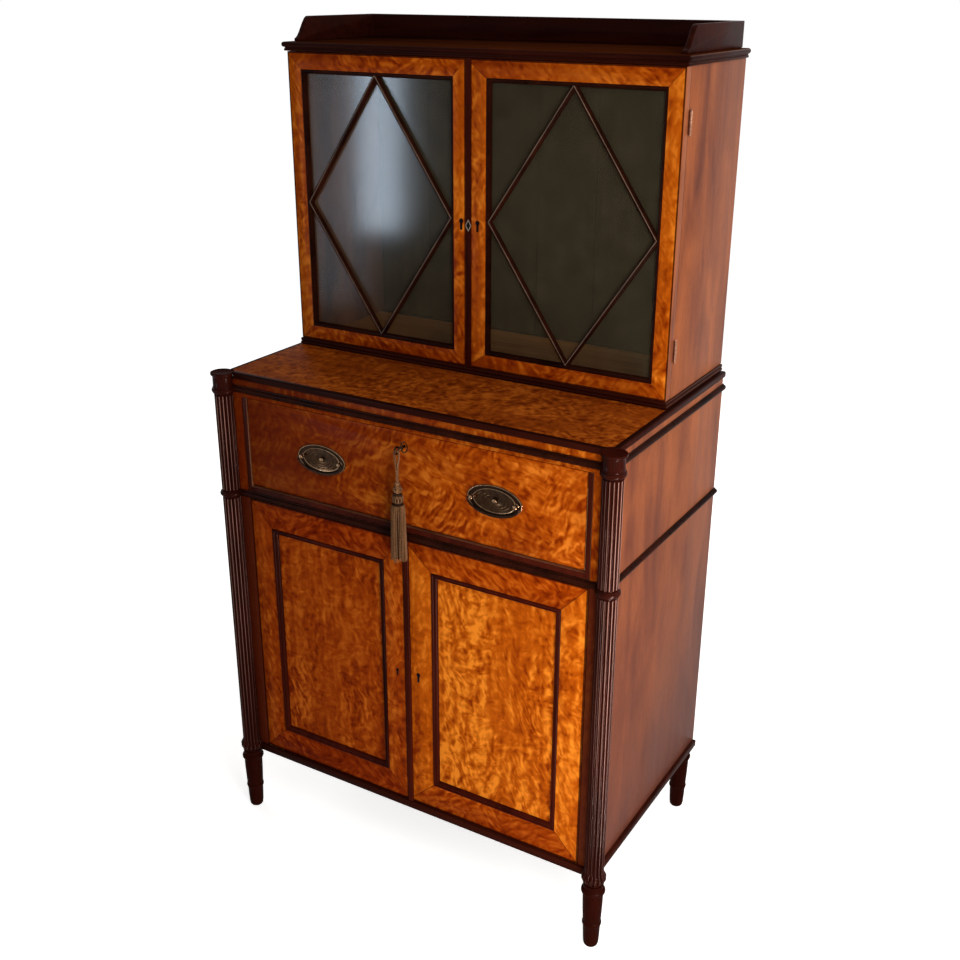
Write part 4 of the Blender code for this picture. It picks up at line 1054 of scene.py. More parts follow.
@dataclass
class Studio:
    """A pale floor, a white surround and soft lamps."""

    floor_size: float = 60.0
    floor_drop: float = 0.0005
    surround: float = 0.11
    warm: Colour = (1.0, 0.95, 0.89)
    cool: Colour = (0.68, 0.83, 1.0)
    rosy: Colour = (1.0, 0.76, 0.68)
    panes: tuple[str, ...] = ("upper_left_glass", "upper_right_glass")
    pane_gain: float = 6.4

    def seen(self, tree: bpy.types.NodeTree) -> Socket:
        """Return one where a camera, glossy or transmission ray looks."""
        path = tree.nodes.new("ShaderNodeLightPath")
        total = path.outputs["Is Camera Ray"]
        for name in ("Is Glossy Ray", "Is Transmission Ray"):
            either = tree.nodes.new("ShaderNodeMath")
            either.operation = "MAXIMUM"
            tree.links.new(total, either.inputs[0])
            tree.links.new(path.outputs[name], either.inputs[1])
            total = either.outputs[0]
        return total

    def lamp(
        self,
        name: str,
        place: Point,
        aim: Point,
        size: Pair,
        power: float,
        colour: Colour,
        only_on: Sequence[str] = (),
        **seen: bool,
    ) -> None:
        """Add a soft lamp.

        Args:
            name: The lamp's name.
            place: Where it stands.
            aim: The point that it faces.
            size: Its width and height.
            power: Its power in watts.
            colour: The light's colour.
            only_on: The nodes that it lights, where it lights only some.
            seen: Which kinds of ray see it.
        """
        data = bpy.data.lights.new(name, "AREA")
        data.shape = "RECTANGLE"
        data.size, data.size_y = size
        data.energy = power
        data.color = colour
        obj = linked(name, data)
        obj.location = place
        obj.rotation_euler = (Vector(aim) - Vector(place)).to_track_quat("-Z", "Y").to_euler()
        obj.visible_camera = False
        for ray, on in seen.items():
            setattr(obj, f"visible_{ray}", on)
        if only_on:
            lit = bpy.data.collections.new(f"{name}_lights")
            for node in only_on:
                lit.objects.link(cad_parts[node])
            obj.light_linking.receiver_collection = lit

    def world(self) -> None:
        """Make the surround: white to look at, dim as a light."""
        world = bpy.data.worlds.new("surround")
        bpy.context.scene.world = world
        world.use_nodes = True
        tree = world.node_tree
        ground = tree.nodes["Background"]
        ground.inputs["Color"].default_value = WHITE
        reach = tree.nodes.new("ShaderNodeMapRange")
        tree.links.new(self.seen(tree), reach.inputs[0])
        reach.inputs[3].default_value = self.surround
        tree.links.new(reach.outputs[0], ground.inputs["Strength"])

    def floor(self) -> None:
        """Make the floor, which glows where it is looked at and keeps the cabinet's shadow."""
        deselect()
        bpy.ops.mesh.primitive_plane_add(size=self.floor_size, location=(0.0, 0.0, -self.floor_drop))
        floor = added("floor")
        board = NodeBoard("pale_floor")
        colour = board.ramp(board.noise(2.0), (0.3, (0.84, 0.84, 0.84)), (0.7, (0.86, 0.86, 0.86)))
        mirrored = board.node("ShaderNodeLightPath", {}).outputs["Is Glossy Ray"]
        away = board.node("ShaderNodeVectorMath", {0: board.place}, operation="LENGTH").outputs["Value"]
        glow = board.math("MULTIPLY", self.seen(board.tree), board.level(away, 0.7, 2.4, 0.74, 0.95))
        finish = board.done(
            Base_Color=board.mix(mirrored, colour, BLACK),
            Roughness=0.9,
            Specular_IOR_Level=0.0,
            Emission_Color=WHITE,
            Emission_Strength=glow,
        )
        coat(floor, finish)

    def build(self) -> None:
        """Make the surround, the floor and the lamps."""
        bpy.context.scene.view_settings.view_transform = "Standard"
        self.world()
        self.floor()
        warm, cool, lamp = self.warm, self.cool, self.lamp
        lamp("right_front", (0.80, -0.78, 0.52), (0.16, FACE, 0.46), (0.45, 0.8), 6.4, warm, glossy=False)
        lamp("right_upper", (1.00, -0.95, 1.75), (0.10, -0.05, 1.05), (0.7, 0.7), 9.0, warm, glossy=False)
        lamp("right_side", (2.3, 0.35, 1.65), (0.37, 0.05, 0.95), (1.2, 1.6), 20.0, warm)
        lamp("left_side", (-2.4, 0.55, 1.5), (-0.37, 0.10, 0.8), (1.2, 1.6), 14.0, warm, glossy=False)
        lamp("behind", (0.5, 2.7, 1.6), (0.0, 0.24, 0.8), (1.8, 1.6), 26.0, warm, glossy=False)
        window = ("window", (-2.06, -2.63, 0.95), (-0.2, 0.0, 1.2), (0.18, 0.8), 17.0)
        wall = ("wall", (-2.36, -2.63, 0.75), (-0.3, 0.0, 1.2), (0.36, 1.1), 4.2)
        for name, gain, lit in (("left", 1.0, ()), ("pane", self.pane_gain, self.panes)):
            for word, place, aim, size, power in (window, wall):
                lamp(f"{name}_{word}", place, aim, size, power * gain, cool, lit, diffuse=False)
        thin = (0.02, 0.64)
        lamp("right_reeds", (0.60, -0.335, 0.40), (0.38, FACE, 0.40), thin, 14.0, self.rosy, diffuse=False)


@dataclass
class Tassel:
    """The silk tassel that hangs by a looped cord from the key's bow."""

    depth: float = FACE - 0.022
    bow_low: float = 0.8543
    loops: tuple[Quad, ...] = (
        (0.0033, 0.0, 0.0018, 0.0),
        (0.0044, 0.0013, 0.0009, 0.0017),
        (0.0054, -0.0013, 0.0009, -0.0017),
    )
    cord_radius: float = 0.0008
    foot: float = 0.8048
    whipping: float = 0.8228
    knot_height: float = 0.7905
    neck_foot: float = 0.7845
    head_foot: float = 0.7645
    head_radius: float = 0.0103
    head_waist: float = 0.0052
    ribs: int = 11
    skirt_foot: float = 0.6610
    threads: int = 26
    twists: int = 14
    ply_out: float = 0.00046

    def route(self, radius: float, aside: float, foot: float, foot_aside: float) -> list[Point]:
        """Return the points of one loop: up a strand, over the bow and down the other.

        Args:
            radius: The loop's radius over the bow.
            aside: How far beside the bow's middle it lies.
            foot: How far each strand ends from the tassel's axis, along the drawer.
            foot_aside: The same, towards the drawer.

        Returns:
            The loop's points.
        """
        over = [(radius * math.cos(a), aside, self.bow_low + radius * math.sin(a)) for a in half_turn(25)]
        strand = []
        for i in range(1, 17):
            t = i / 16
            gather, part = min(1.0, t / 0.62), min(1.0, t / 0.30)
            across = radius + (foot - radius) * gather * gather * (3 - 2 * gather)
            deep = aside + (foot_aside - aside) * part * part * (3 - 2 * part)
            strand.append((across, deep, self.bow_low + (self.foot - self.bow_low) * t))
        loop = [*reversed(strand), *over, *((-u, v, w) for u, v, w in strand)]
        return [(u, self.depth + v, w) for u, v, w in loop]

    def round_axis(self, out: float, angle: float, height: float) -> Point:
        """Return a point at a distance from the tassel's axis."""
        return (out * math.cos(angle), self.depth + out * math.sin(angle), height)

    def spun(self, name: str, rows: Sequence[Pair], steps: int, finish: Material) -> Object:
        """Return a turning about the tassel's axis, with its finish."""
        return coat(turned(name, rows, (0.0, self.depth, 0.0), steps), finish)

    def ball(
        self, name: str, middle: float, height: float, radius: float, waist: float, finish: Material
    ) -> Object:
        """Return a turned bead of the neck."""
        rounded = arc(middle, height, waist, radius, 13)
        return self.spun(name, [(0.0, rounded[0][1]), *rounded, (0.0, rounded[-1][1])], 28, finish)

    def knot(self, finish: Material) -> Object:
        """Return the interlaced knot under the neck: a cord woven three times round a ball."""
        reach, rise = 0.0062, 0.0042
        points = []
        for a in full_turn(150):
            out = reach + 0.0009 * math.cos(10 * a)
            points.append(self.round_axis(out, 3 * a, self.knot_height + rise * math.sin(5 * a)))
        return coat(wire("knot", points, 0.00125, closed=True), finish)

    def head(self, finishes: Finishes) -> Object:
        """Return the ribbed turban that covers the head of the skirt."""
        middle = (self.neck_foot + self.head_foot) / 2
        height = self.neck_foot - self.head_foot
        rounded = arc(middle, height, self.head_waist, 0.0092, 15)
        rows = [(0.0, self.neck_foot), *rounded, (0.0, self.head_foot)]
        # The turban's core is painted shade between its ribs.
        pieces = [self.spun("turban_core", rows, 28, finishes.silk_shade)]
        swell = self.head_radius - 0.0010 - self.head_waist
        for i in range(self.ribs):
            for slant in (-1, 1):
                points = []
                for k in range(11):
                    t = k / 10
                    out = self.head_waist + swell * math.sin(math.pi * (0.06 + 0.88 * t))
                    a = math.tau * (i + slant * 0.9 * t) / self.ribs
                    points.append(self.round_axis(out, a, self.neck_foot - 0.001 - (height - 0.002) * t))
                pieces.append(coat(wire(f"rib_{i}_{slant}", points, 0.0008, sides=1), finishes.silk))
        return joined("turban", pieces)

    def skirt(self, finishes: Finishes) -> Object:
        """Return the skirt: twisted threads round a heart painted dark as the shade between them."""
        rng = random.Random(7)
        top, heart_foot = self.head_foot, self.skirt_foot + 0.006
        rows = [(0.0, top - 0.001), (0.0100, top - 0.002), (0.0118, heart_foot), (0.0, heart_foot)]
        pieces = [self.spun("skirt_heart", rows, 24, finishes.silk_shade)]
        for i in range(self.threads):
            sway = rng.uniform(-0.0009, 0.0009)
            ends = self.skirt_foot + rng.uniform(0.0, 0.0040)
            phase = rng.uniform(0.0, math.tau)
            start = math.tau * (i + rng.uniform(-0.22, 0.22)) / self.threads
            proud = rng.uniform(-0.0005, 0.0004)
            for ply in (0, 1):
                points = []
                for k in range(73):
                    t = k / 72
                    out = 0.0099 + (0.0015 + proud) * min(1.0, 12.0 * t) + 0.0021 * t
                    a = start + sway * t / out
                    turn = phase + math.pi * ply + math.tau * self.twists * t
                    side = self.ply_out * math.sin(turn) / out
                    z = top - 0.0015 + (ends - top + 0.0015) * t
                    points.append(self.round_axis(out + self.ply_out * math.cos(turn), a + side, z))
                pieces.append(coat(wire(f"thread_{i}_{ply}", points, 0.00064, sides=1), finishes.silk))
        return joined("tassel_skirt", pieces)

    def build(self, finishes: Finishes) -> None:
        silk = finishes.silk
        for i, loop in enumerate(self.loops):
            route = self.route(*loop)
            cord = wire(f"tassel_loop_{i + 1}", route, self.cord_radius)
            enter(cord, "tassel", silk, [] if i else ["tassel_cord"])
        beads = []
        for i in range(3):
            beads.append(self.ball(f"whipping_{i}", self.whipping - 0.0019 * i, 0.0021, 0.0031, 0.0024, silk))
        beads += [
            self.ball("neck_ball", 0.8013, 0.0064, 0.0050, 0.0026, silk),
            self.ball("neck_ring", 0.7965, 0.0030, 0.0055, 0.0032, silk),
            self.knot(silk),
            self.ball("knot_heart", self.knot_height, 0.0100, 0.0054, 0.0030, silk),
            self.head(finishes),
            self.ball("head_binding", 0.7642, 0.0026, 0.0100, 0.0086, finishes.silk_shade),
        ]
        head = enter(joined("tassel_head", beads), "tassel", silk)
        enter(self.skirt(finishes), "tassel", silk, ["tassel"])


LEG_PROFILE: list[Pair] = [
    *((0.0182, 0.1340), (0.0174, 0.1290), (0.0176, 0.1254)),
    *arc(0.1195, 0.0095, 0.0178, 0.0212, 11),
    *((0.0176, 0.1138), (0.0178, 0.1100), (0.0174, 0.0900)),
    *((0.0166, 0.0700), (0.0159, 0.0560), (0.0156, 0.0540)),
    *arc(0.0490, 0.0080, 0.0156, 0.0170, 9),
    *((0.0152, 0.0440), (0.0148, 0.0300), (0.0139, 0.0120), (0.0136, 0.0080), (0.0128, 0.0030)),
    *((0.0112, 0.0004), (0.0104, 0.0), (0.0, 0.0)),
]


@dataclass
class ReededColumn:
    """A corner column: turned cap, neck and rings, reeds between them, and a turned leg."""

    side: Side
    depth: float = FACE - 0.009
    top: float = 0.929
    cap_radius: float = 0.021
    neck_radius: float = 0.0178
    ring_radius: float = 0.0208
    ring_height: float = 0.0115
    ring_round: float = 0.0078
    neck_ring: float = 0.8965
    waist_ring: float = 0.69775
    core_radius: float = 0.0146
    reed_middle: float = 0.01445
    reed_radius: float = 0.00272
    reeds: int = 16
    bulge: float = 0.1475
    bulge_half: float = 0.0135
    bulge_out: float = 0.0040

    def swelling(self, height: float) -> float:
        """Return how far column and reeds swell out at a height, just above the leg."""
        t = (height - self.bulge) / self.bulge_half
        return self.bulge_out * math.cos(QUARTER * t) ** 2 if abs(t) < 1 else 0.0

    def bulge_heights(self, count: int) -> list[float]:
        """Return the heights of the first steps down the bulge."""
        return [self.bulge + self.bulge_half * (1 - i / 5) for i in range(count)]

    def reed(self, low: float, high: float) -> Object:
        """Return one reed on the axis' right, rounded at both ends and swelling with the column."""
        heights = [high, high - 0.0008, high - 0.0024]
        if self.swelling(low + self.bulge_half) > 0:
            heights += self.bulge_heights(10)
        heights += [low + 0.0024, low + 0.0008, low]
        ends = [0.25, 0.75, 1.0, *(1.0 for _ in heights[6:]), 1.0, 0.75, 0.25]
        swell = [end * (1 + 75.0 * self.swelling(z)) for end, z in zip(ends, heights)]
        points = [(self.reed_middle + self.swelling(z), 0.0, z) for z in heights]
        return wire("reed", points, self.reed_radius, swell, sides=5)

    def profile(self) -> list[Pair]:
        """Return the turning from the cap's middle to the sole's."""
        cap, neck, ring, core = self.cap_radius, self.neck_radius, self.ring_radius, self.core_radius
        top, high, waist = self.top, self.neck_ring, self.waist_ring
        rows = [(0.0, top - 0.0004), (cap - 0.0046, top - 0.0004), (cap - 0.0036, top), (cap - 0.0012, top)]
        rows += [(cap - 0.0003, top - 0.0004), (cap, top - 0.0013), (cap, top - 0.0036)]
        rows += [(cap - 0.0006, top - 0.0044), (neck + 0.0012, top - 0.0050), (neck + 0.0004, top - 0.0058)]
        low_neck = high + self.ring_height / 2
        rows += [(neck, top - 0.0072), (neck, low_neck + 0.0012), (neck + 0.0006, low_neck + 0.0004)]
        rows += [(neck + 0.0012, low_neck), *arc(high, self.ring_round, neck + 0.0008, ring, 11)]
        rows += [(neck + 0.0010, high - 0.0050), (neck - 0.0002, high - 0.0058), (core, high - 0.0064)]
        rows += [(core, waist + 0.0064), (0.0172, waist + 0.0058), (0.0182, waist + 0.0048)]
        rows += arc(waist, self.ring_round, 0.0184, ring, 11)
        rows += [(0.0182, waist - 0.0048), (0.0172, waist - 0.0058), (core, waist - 0.0064)]
        rows += [(core + self.swelling(z), z) for z in self.bulge_heights(11)]
        return rows + LEG_PROFILE

    def build(self, finishes: Finishes) -> None:
        """Turn the column, lay its reeds and enter it."""
        name = f"{self.side.word}_reeded_column"
        centre = Vector((self.side.value * COLUMN_OUT, self.depth, 0.0))
        pieces = [turned(f"{name}_turning", self.profile(), centre, 56)]
        leg_top = self.bulge - self.bulge_half
        spans = (
            (self.waist_ring + 0.0062, self.neck_ring - 0.0066),
            (leg_top + 0.0004, self.waist_ring - 0.0062),
        )
        half = 0.5 * self.reed_radius
        for low, high in spans:
            reed = self.reed(low, high)
            for i in range(self.reeds):
                a = math.tau * (i + 0.5) / self.reeds
                place = centre + self.reed_middle * Vector((math.cos(a), math.sin(a), 0.0))
                if abs(place.x) >= CASE_HALF - half or place.y <= FACE + half:
                    pieces.append(moved(reed, Matrix.Translation(centre) @ Matrix.Rotation(a, 4, "Z")))
            bpy.data.objects.remove(reed)
        column = coat(joined(name, pieces), finishes.column)

        def on_lit_reed_flank(c: Vector, n: Vector) -> bool:
            """Tell whether a face lies on the lit flank of a reed's crest, where a highlight is painted."""
            out = Vector((c.x - centre.x, c.y - centre.y, 0.0))
            proud = out.length > self.reed_middle + 0.8 * self.reed_radius
            reeded = any(low + 0.004 < c.z < high for low, high in spans)
            fore = n.x * out.y - n.y * out.x
            return proud and reeded and n.dot(out.normalized()) > 0.96 and self.side.value * fore > 0

        part_coat(column, finishes.foot, lambda c, n: c.z < leg_top)
        part_coat(column, finishes.cap, lambda c, n: n.z > 0.8 and c.z > self.top - 0.01)
        # Painted highlight along one flank of each reed.
        part_coat(column, finishes.crest, on_lit_reed_flank)
        enter(column, "carcass", finishes.column, [f"{self.side.word}_column"])


@dataclass
class RearLeg:
    """A turned leg under a back corner."""

    side: Side
    out: float = 0.361
    depth: float = FACE + 0.436
    top: float = 0.1357

    def build(self, finishes: Finishes) -> None:
        """Turn the leg and enter it."""
        centre = (self.side.value * self.out, self.depth, 0.0)
        rows = [(0.0, self.top), (0.0205, self.top), (0.0211, self.top - 0.0008)]
        leg = turned(f"rear_{self.side.word}_leg", rows + LEG_PROFILE, centre, 40)
        enter(leg, "carcass", finishes.foot, [f"rear_{self.side.word}_foot"])


@dataclass
class OvalHandle:
    """A stamped oval plate with two posts and the bail that hangs between them."""

    side: Side
    out: float = 0.174
    height: float = 0.8010
    half_long: float = 0.0510
    half_high: float = 0.0265
    back: float = FACE - 0.0003
    post_out: float = 0.041
    bail_depth: float = FACE - 0.0068
    bail_long: float = 0.049
    bail_drop: float = 0.0232
    stamping: tuple[Pair, ...] = (
        *((1.0, 0.0012), (0.992, 0.0006), (0.975, 0.0003), (0.955, -0.0002), (0.940, -0.0013)),
        *((0.800, -0.0001), (0.785, 0.0012), (0.765, 0.0006), (0.740, -0.0003)),
        *((0.640, -0.0006), (0.630, 0.0003), (0.605, 0.0), (0.595, -0.0003)),
        *((0.500, -0.0003), (0.490, 0.0003), (0.465, 0.0), (0.455, -0.0003)),
        *((0.360, -0.0002), (0.350, 0.0003), (0.325, 0.0), (0.315, -0.0003)),
    )
    post_rows: tuple[Pair, ...] = (
        *((0.0, 0.0098), (0.0018, 0.0097), (0.0033, 0.0090), (0.0040, 0.0078), (0.0038, 0.0064)),
        *((0.0030, 0.0052), (0.0027, 0.0036), (0.0034, 0.0022), (0.0042, 0.0012), (0.0, 0.0012)),
    )

    def middle(self, depth: float) -> Vector:
        """Return the handle's middle at a depth."""
        return Vector((self.side.value * self.out, depth, self.height))

    def share(self, point: Vector) -> float:
        """Return how far out a point of the plate lies, from nought in its middle to one at its edge."""
        across = (point.x - self.side.value * self.out) / self.half_long
        return math.hypot(across, (point.z - self.height) / self.half_high)

    def oval(self, finishes: Finishes) -> Object:
        """Return the plate itself, stamped in steps that go forward and back as they go in."""
        middle = self.middle(self.back)
        deselect()
        bpy.ops.mesh.primitive_circle_add(vertices=72, radius=1.0, fill_type="NGON", location=middle)
        oval = added("plate", turn=UPRIGHT, scale=(self.half_long, self.half_high, 1.0))
        with editing(oval):
            last = 1.0
            for share, forward in self.stamping:
                push((0.0, -forward, 0.0))
                ratio = share / last
                bpy.ops.transform.resize(value=(ratio, 1.0, ratio), center_override=middle)
                last = share
        close_up(oval)
        coat(smooth(oval, 50.0), finishes.bronzed)
        part_coat(oval, finishes.recess, lambda c, n: 0.79 < self.share(c) < 0.945)
        # The raised rims get bright metal: wear, and a painted highlight.
        part_coat(oval, finishes.worn, lambda c, n: self.share(c) > 0.962 and n.y < -0.3)
        part_coat(oval, finishes.worn, lambda c, n: 0.748 < self.share(c) < 0.79)
        return oval

    def plate(self, finishes: Finishes) -> Object:
        """Return the oval with a boss in its middle and a knob at each end."""
        pieces = [self.oval(finishes)]
        middle = self.middle(self.back)
        deselect()
        place = middle + Vector((0.0, -0.0016, 0.0))
        bpy.ops.mesh.primitive_uv_sphere_add(segments=28, ring_count=14, radius=1.0, location=place)
        boss = added("boss", scale=(0.0052, 0.0030, 0.0040))
        # The boss and posts get bright metal: wear, and a painted highlight.
        pieces.append(smooth(coat(boss, finishes.worn), 60.0))
        post = coat(turned("post", self.post_rows, ORIGIN, 20), finishes.worn)
        for end in (-1, 1):
            place = middle + Vector((end * self.post_out, 0.0, 0.0))
            pieces.append(moved(post, Matrix.Translation(place) @ Matrix.Rotation(QUARTER, 4, "X")))
        bpy.data.objects.remove(post)
        return joined(f"{self.side.word}_oval_plate", pieces)

    def bail(self) -> Object:
        """Return the bail: a half oval, thickest at its lowest, with two short pins."""
        middle = self.middle(self.bail_depth)
        turns = [math.pi * (0.06 + 0.88 * i / 40) for i in range(41)]
        hoop = [(-self.bail_long * math.cos(a), -self.bail_drop * math.sin(a)) for a in turns]
        pin, bend = self.post_out + 0.0006, 0.0462
        flat = [(-pin, 0.0), (-bend, -0.0004), *hoop, (bend, -0.0004), (pin, 0.0)]
        swell = [0.85, 0.9, *(0.85 + 0.75 * math.sin(a) ** 2 for a in turns), 0.9, 0.85]
        points = [(middle.x + u, middle.y, middle.z + v) for u, v in flat]
        return wire(f"{self.side.word}_drop_bail", points, 0.0017, swell)

    def build(self, finishes: Finishes) -> None:
        """Make plate and bail and enter both."""
        word = self.side.word
        enter(self.plate(finishes), "fall", finishes.bronzed, [f"{word}_handle_plate"])
        enter(self.bail(), f"{word}_bail", finishes.recess, [f"{word}_bail"])


@dataclass
class KeyAndHoles:
    """The drawer's key with its ring, and the keyholes of the doors."""

    key_height: float = 0.860
    bow_depth: float = FACE - 0.022
    bow_radius: float = 0.0057
    bow_wire: float = 0.0017
    shank_rows: tuple[Pair, ...] = (
        *((0.0, 0.0163), (0.0016, 0.0163), (0.0020, 0.0142), (0.0034, 0.0130), (0.0026, 0.0118)),
        *((0.0021, 0.0108), (0.0024, 0.0100), (0.0040, 0.0091), (0.0040, 0.0080), (0.0024, 0.0071)),
        *((0.0023, 0.0050), (0.0024, -0.0150), (0.0, -0.0150)),
    )
    holes: tuple[tuple[str, float, float, float, float], ...] = (
        ("upper_left", -0.0155, UPPER_FACE, 1.193, 0.0042),
        ("upper_right", 0.0165, UPPER_FACE, 1.192, 0.0042),
        ("lower_left", -0.0255, FACE, 0.4220, 0.0031),
        ("lower_right", 0.0200, FACE, 0.4240, 0.0042),
    )

    def key(self) -> Object:
        """Return the key: a ring bow and a collared shank."""
        ring = []
        for a in full_turn(40):
            height = self.key_height + self.bow_radius * math.sin(a)
            ring.append((0.0, self.bow_depth + self.bow_radius * math.cos(a), height))
        bow = wire("bow", ring, self.bow_wire, closed=True)
        upright = turned("shank", self.shank_rows, ORIGIN, 24)
        place = Matrix.Translation((0.0, FACE, self.key_height)) @ Matrix.Rotation(QUARTER, 4, "X")
        shank = moved(upright, place)
        bpy.data.objects.remove(upright)
        return joined("drawer_key", [bow, shank])

    def keyhole(self, name: str, x: float, depth: float, z: float, size: float) -> Object:
        """Return a keyhole with its thin lip, let into a door; its near-black finish is painted shade where a
        hole would be.

        Args:
            name: The piece's name.
            x: Its place across.
            depth: The door's face.
            z: Its height.
            size: The radius of its eye.

        Returns:
            The new object.
        """
        half, lip = 0.55 * size, 0.0003
        deselect()
        place = (x, depth, z + size)
        bpy.ops.mesh.primitive_cylinder_add(vertices=24, radius=size, depth=2 * lip, location=place)
        eye = added(name, turn=UPRIGHT)
        with editing(eye, "EDGE"):
            pick_edges(eye, lambda a, b: abs(a.y - b.y) < MERGE and a.y < depth)
            bpy.ops.mesh.bevel(offset=0.0002, segments=2)
        near, far = (x - half, depth - lip, z - 2.6 * size), (x + half, depth + lip, z + size)
        foot = block("slot", near, far, 0.0001)
        return joined(name, [smooth(eye), foot])

    def build(self, finishes: Finishes) -> None:
        """Make the key, its escutcheon and the keyholes, and enter them."""
        bronzed = finishes.bronzed
        enter(self.key(), "key", bronzed, ["key"])
        lip = []
        for a in full_turn(48):
            lip.append((0.0064 * math.cos(a), FACE - 0.0002, self.key_height - 0.002 + 0.0092 * math.sin(a)))
        enter(wire("drawer_escutcheon", lip, 0.0009, closed=True), "fall", bronzed)
        for stem, *place in self.holes:
            hole = self.keyhole(f"{stem}_keyhole", *place)
            # The keyholes take painted shade.
            enter(hole, f"{stem}_door", finishes.keyhole)


@dataclass
class Door:
    """What both kinds of door share: a mitred frame of satinwood round an opening."""

    side: Side
    level: str
    inner: float
    outer: float
    bottom: float
    top: float

    @property
    def stem(self) -> str:
        """The start of the names of the door's pieces."""
        return f"{self.level}_{self.side.word}"

    def mitred(self, **looks: object) -> Material:
        """Return the frame's finish, from its own box and its opening.

        Args:
            looks: Colours and other fields of the finish.

        Returns:
            The material.
        """
        low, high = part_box(f"{self.stem}_door_frame")
        left, right = sorted((self.side.value * self.inner, self.side.value * self.outer))
        outer = (low.x, low.z, high.x, high.z)
        widths = (left - low.x, high.x - right, self.bottom - low.z, high.z - self.top)
        return MitredFrame(f"satinwood_{self.stem}_frame", outer=outer, widths=widths, **looks).make()


@dataclass
class GlazedDoor(Door):
    """A glazed door: mitred frame, sash moulding, four astragals in a lozenge, and its pane."""

    level: str = "upper"
    inner: float = 0.0310
    outer: float = 0.3450
    bottom: float = 0.96855
    top: float = 1.42825
    web: float = 0.0034
    nose: Pair = (0.0042, 0.0036)
    nose_foot: float = 0.0040
    bar_end: float = 0.0055

    def sash(self) -> Object:
        """Return the sash moulding with its astragals."""
        node = f"{self.stem}_astragals"
        low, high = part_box(node)
        steps = ((0.0, 0.0078), (0.0006, 0.0006), (0.0016, 0.0002), (0.0012, -0.0006))
        steps += ((0.0004, -0.0014), (0.0014, -0.0006), (0.0012, -0.0022), (0.0008, -0.0038))
        pieces = [border("sash", node, steps)]
        middle = Vector(((low.x + high.x) / 2, high.y, (low.z + high.z) / 2))
        reach_x, reach_z = (high.x - low.x) / 2 - self.bar_end, (high.z - low.z) / 2 - self.bar_end
        for across in (-1, 1):
            for up in (-1, 1):
                start = middle + Vector((across * reach_x, 0.0, 0.0))
                end = middle + Vector((0.0, 0.0, up * reach_z))
                pieces.append(self.astragal(start, end, low.y))
        return joined(f"{self.stem}_lozenge_sash", pieces)

    def astragal(self, start: Vector, end: Vector, front: float) -> Object:
        """Return one bar: a rounded nose on a narrower web.

        Args:
            start: Its foot on the side of the sash.
            end: Its foot on the top or bottom of the sash.
            front: How far forward its nose reaches.

        Returns:
            The new object.
        """
        run = end - start
        wide = run.normalized().cross(Vector((0.0, 1.0, 0.0))).normalized()
        half, proud = self.nose
        shoulder = front + self.nose_foot
        outline = [(-self.web, start.y), (-self.web, shoulder)]
        outline += [(-half * math.cos(a), shoulder - proud * math.sin(a)) for a in half_turn(11)]
        outline += [(self.web, shoulder), (self.web, start.y)]
        return strip("astragal", [Vector((start.x, y, start.z)) + wide * u for u, y in outline], run)

    def build(self, finishes: Finishes) -> None:
        """Make the door's pieces and enter them."""
        body, node = f"{self.stem}_door", f"{self.stem}_door_frame"
        finish = self.mitred(seed=4.0 + self.side.value, rail_shade=(0.78, 0.64, 0.55))
        door = coat(softened(node, 0.0008), finish)
        part_coat(door, finishes.side, lambda c, n: abs(c.x) > self.outer and abs(n.x) > 0.7)
        enter(door, body, finish, [node])
        sash = coat(self.sash(), finishes.ebony)
        # Painted highlight on the bars' faces that turn up and to the side.
        part_coat(sash, finishes.rubbed, lambda c, n: n.y < -0.94 and n.z > 0.04 and abs(n.x) > 0.04)
        enter(sash, body, finishes.ebony, [f"{self.stem}_astragals"])
        dress(f"{self.stem}_glass", OldGlass(f"pane_{self.side.word}").make())


@dataclass
class CupboardDoor(Door):
    """A cupboard door: mitred frame, figured panel and a dark moulding between them."""

    level: str = "lower"
    inner: float = 0.0489
    outer: float = 0.2992
    bottom: float = 0.2015
    top: float = 0.6390
    # Factor on the left door's colours: painted shade, as less light falls on the left of the front.
    shaded: Colour = (0.67, 0.52, 0.56)

    def moulding(self, node: str) -> Object:
        """Return the moulding: a bead, a quirk and a second, lower bead."""
        steps = ((0.0, 0.0052), (0.0005, 0.0014), (0.0008, 0.0010), (0.0012, 0.0005), (0.0012, -0.0005))
        steps += ((0.0008, -0.0010), (0.0005, -0.0012), (0.0006, 0.0), (0.0008, 0.0006), (0.0010, 0.0))
        steps += ((0.0012, -0.0008), (0.0014, -0.0018), (0.0006, -0.0034))
        return border(f"{self.stem}_bolection", node, steps)

    def build(self, finishes: Finishes) -> None:
        """Make the door's pieces and enter them."""
        body, node = f"{self.stem}_door", f"{self.stem}_door_frame"
        left = self.side is Side.LEFT
        # The left door takes the darker colours: painted shade.
        shades = shades_of(self.shaded if left else (1.0, 1.0, 1.0))
        finish = self.mitred(seed=8.0 + 2.0 * self.side.value, rail_shade=(0.65, 0.46, 0.41), **shades)
        enter(softened(node, 0.0008), body, finish, [node])
        bead = f"{self.stem}_panel_moulding"
        enter(self.moulding(bead), body, finishes.bead, [bead])
        # The left panel's lower ground darkens it further: painted shade.
        looks = {"lean": -8.0, "seed": 15.0 + 5.0 * self.side.value, "ground": 0.13 if left else 0.23}
        panel = Satinwood(f"satinwood_{self.side.word}_panel", Grain.UP, **looks, **shades)
        dress(f"{self.stem}_panel", panel.make())


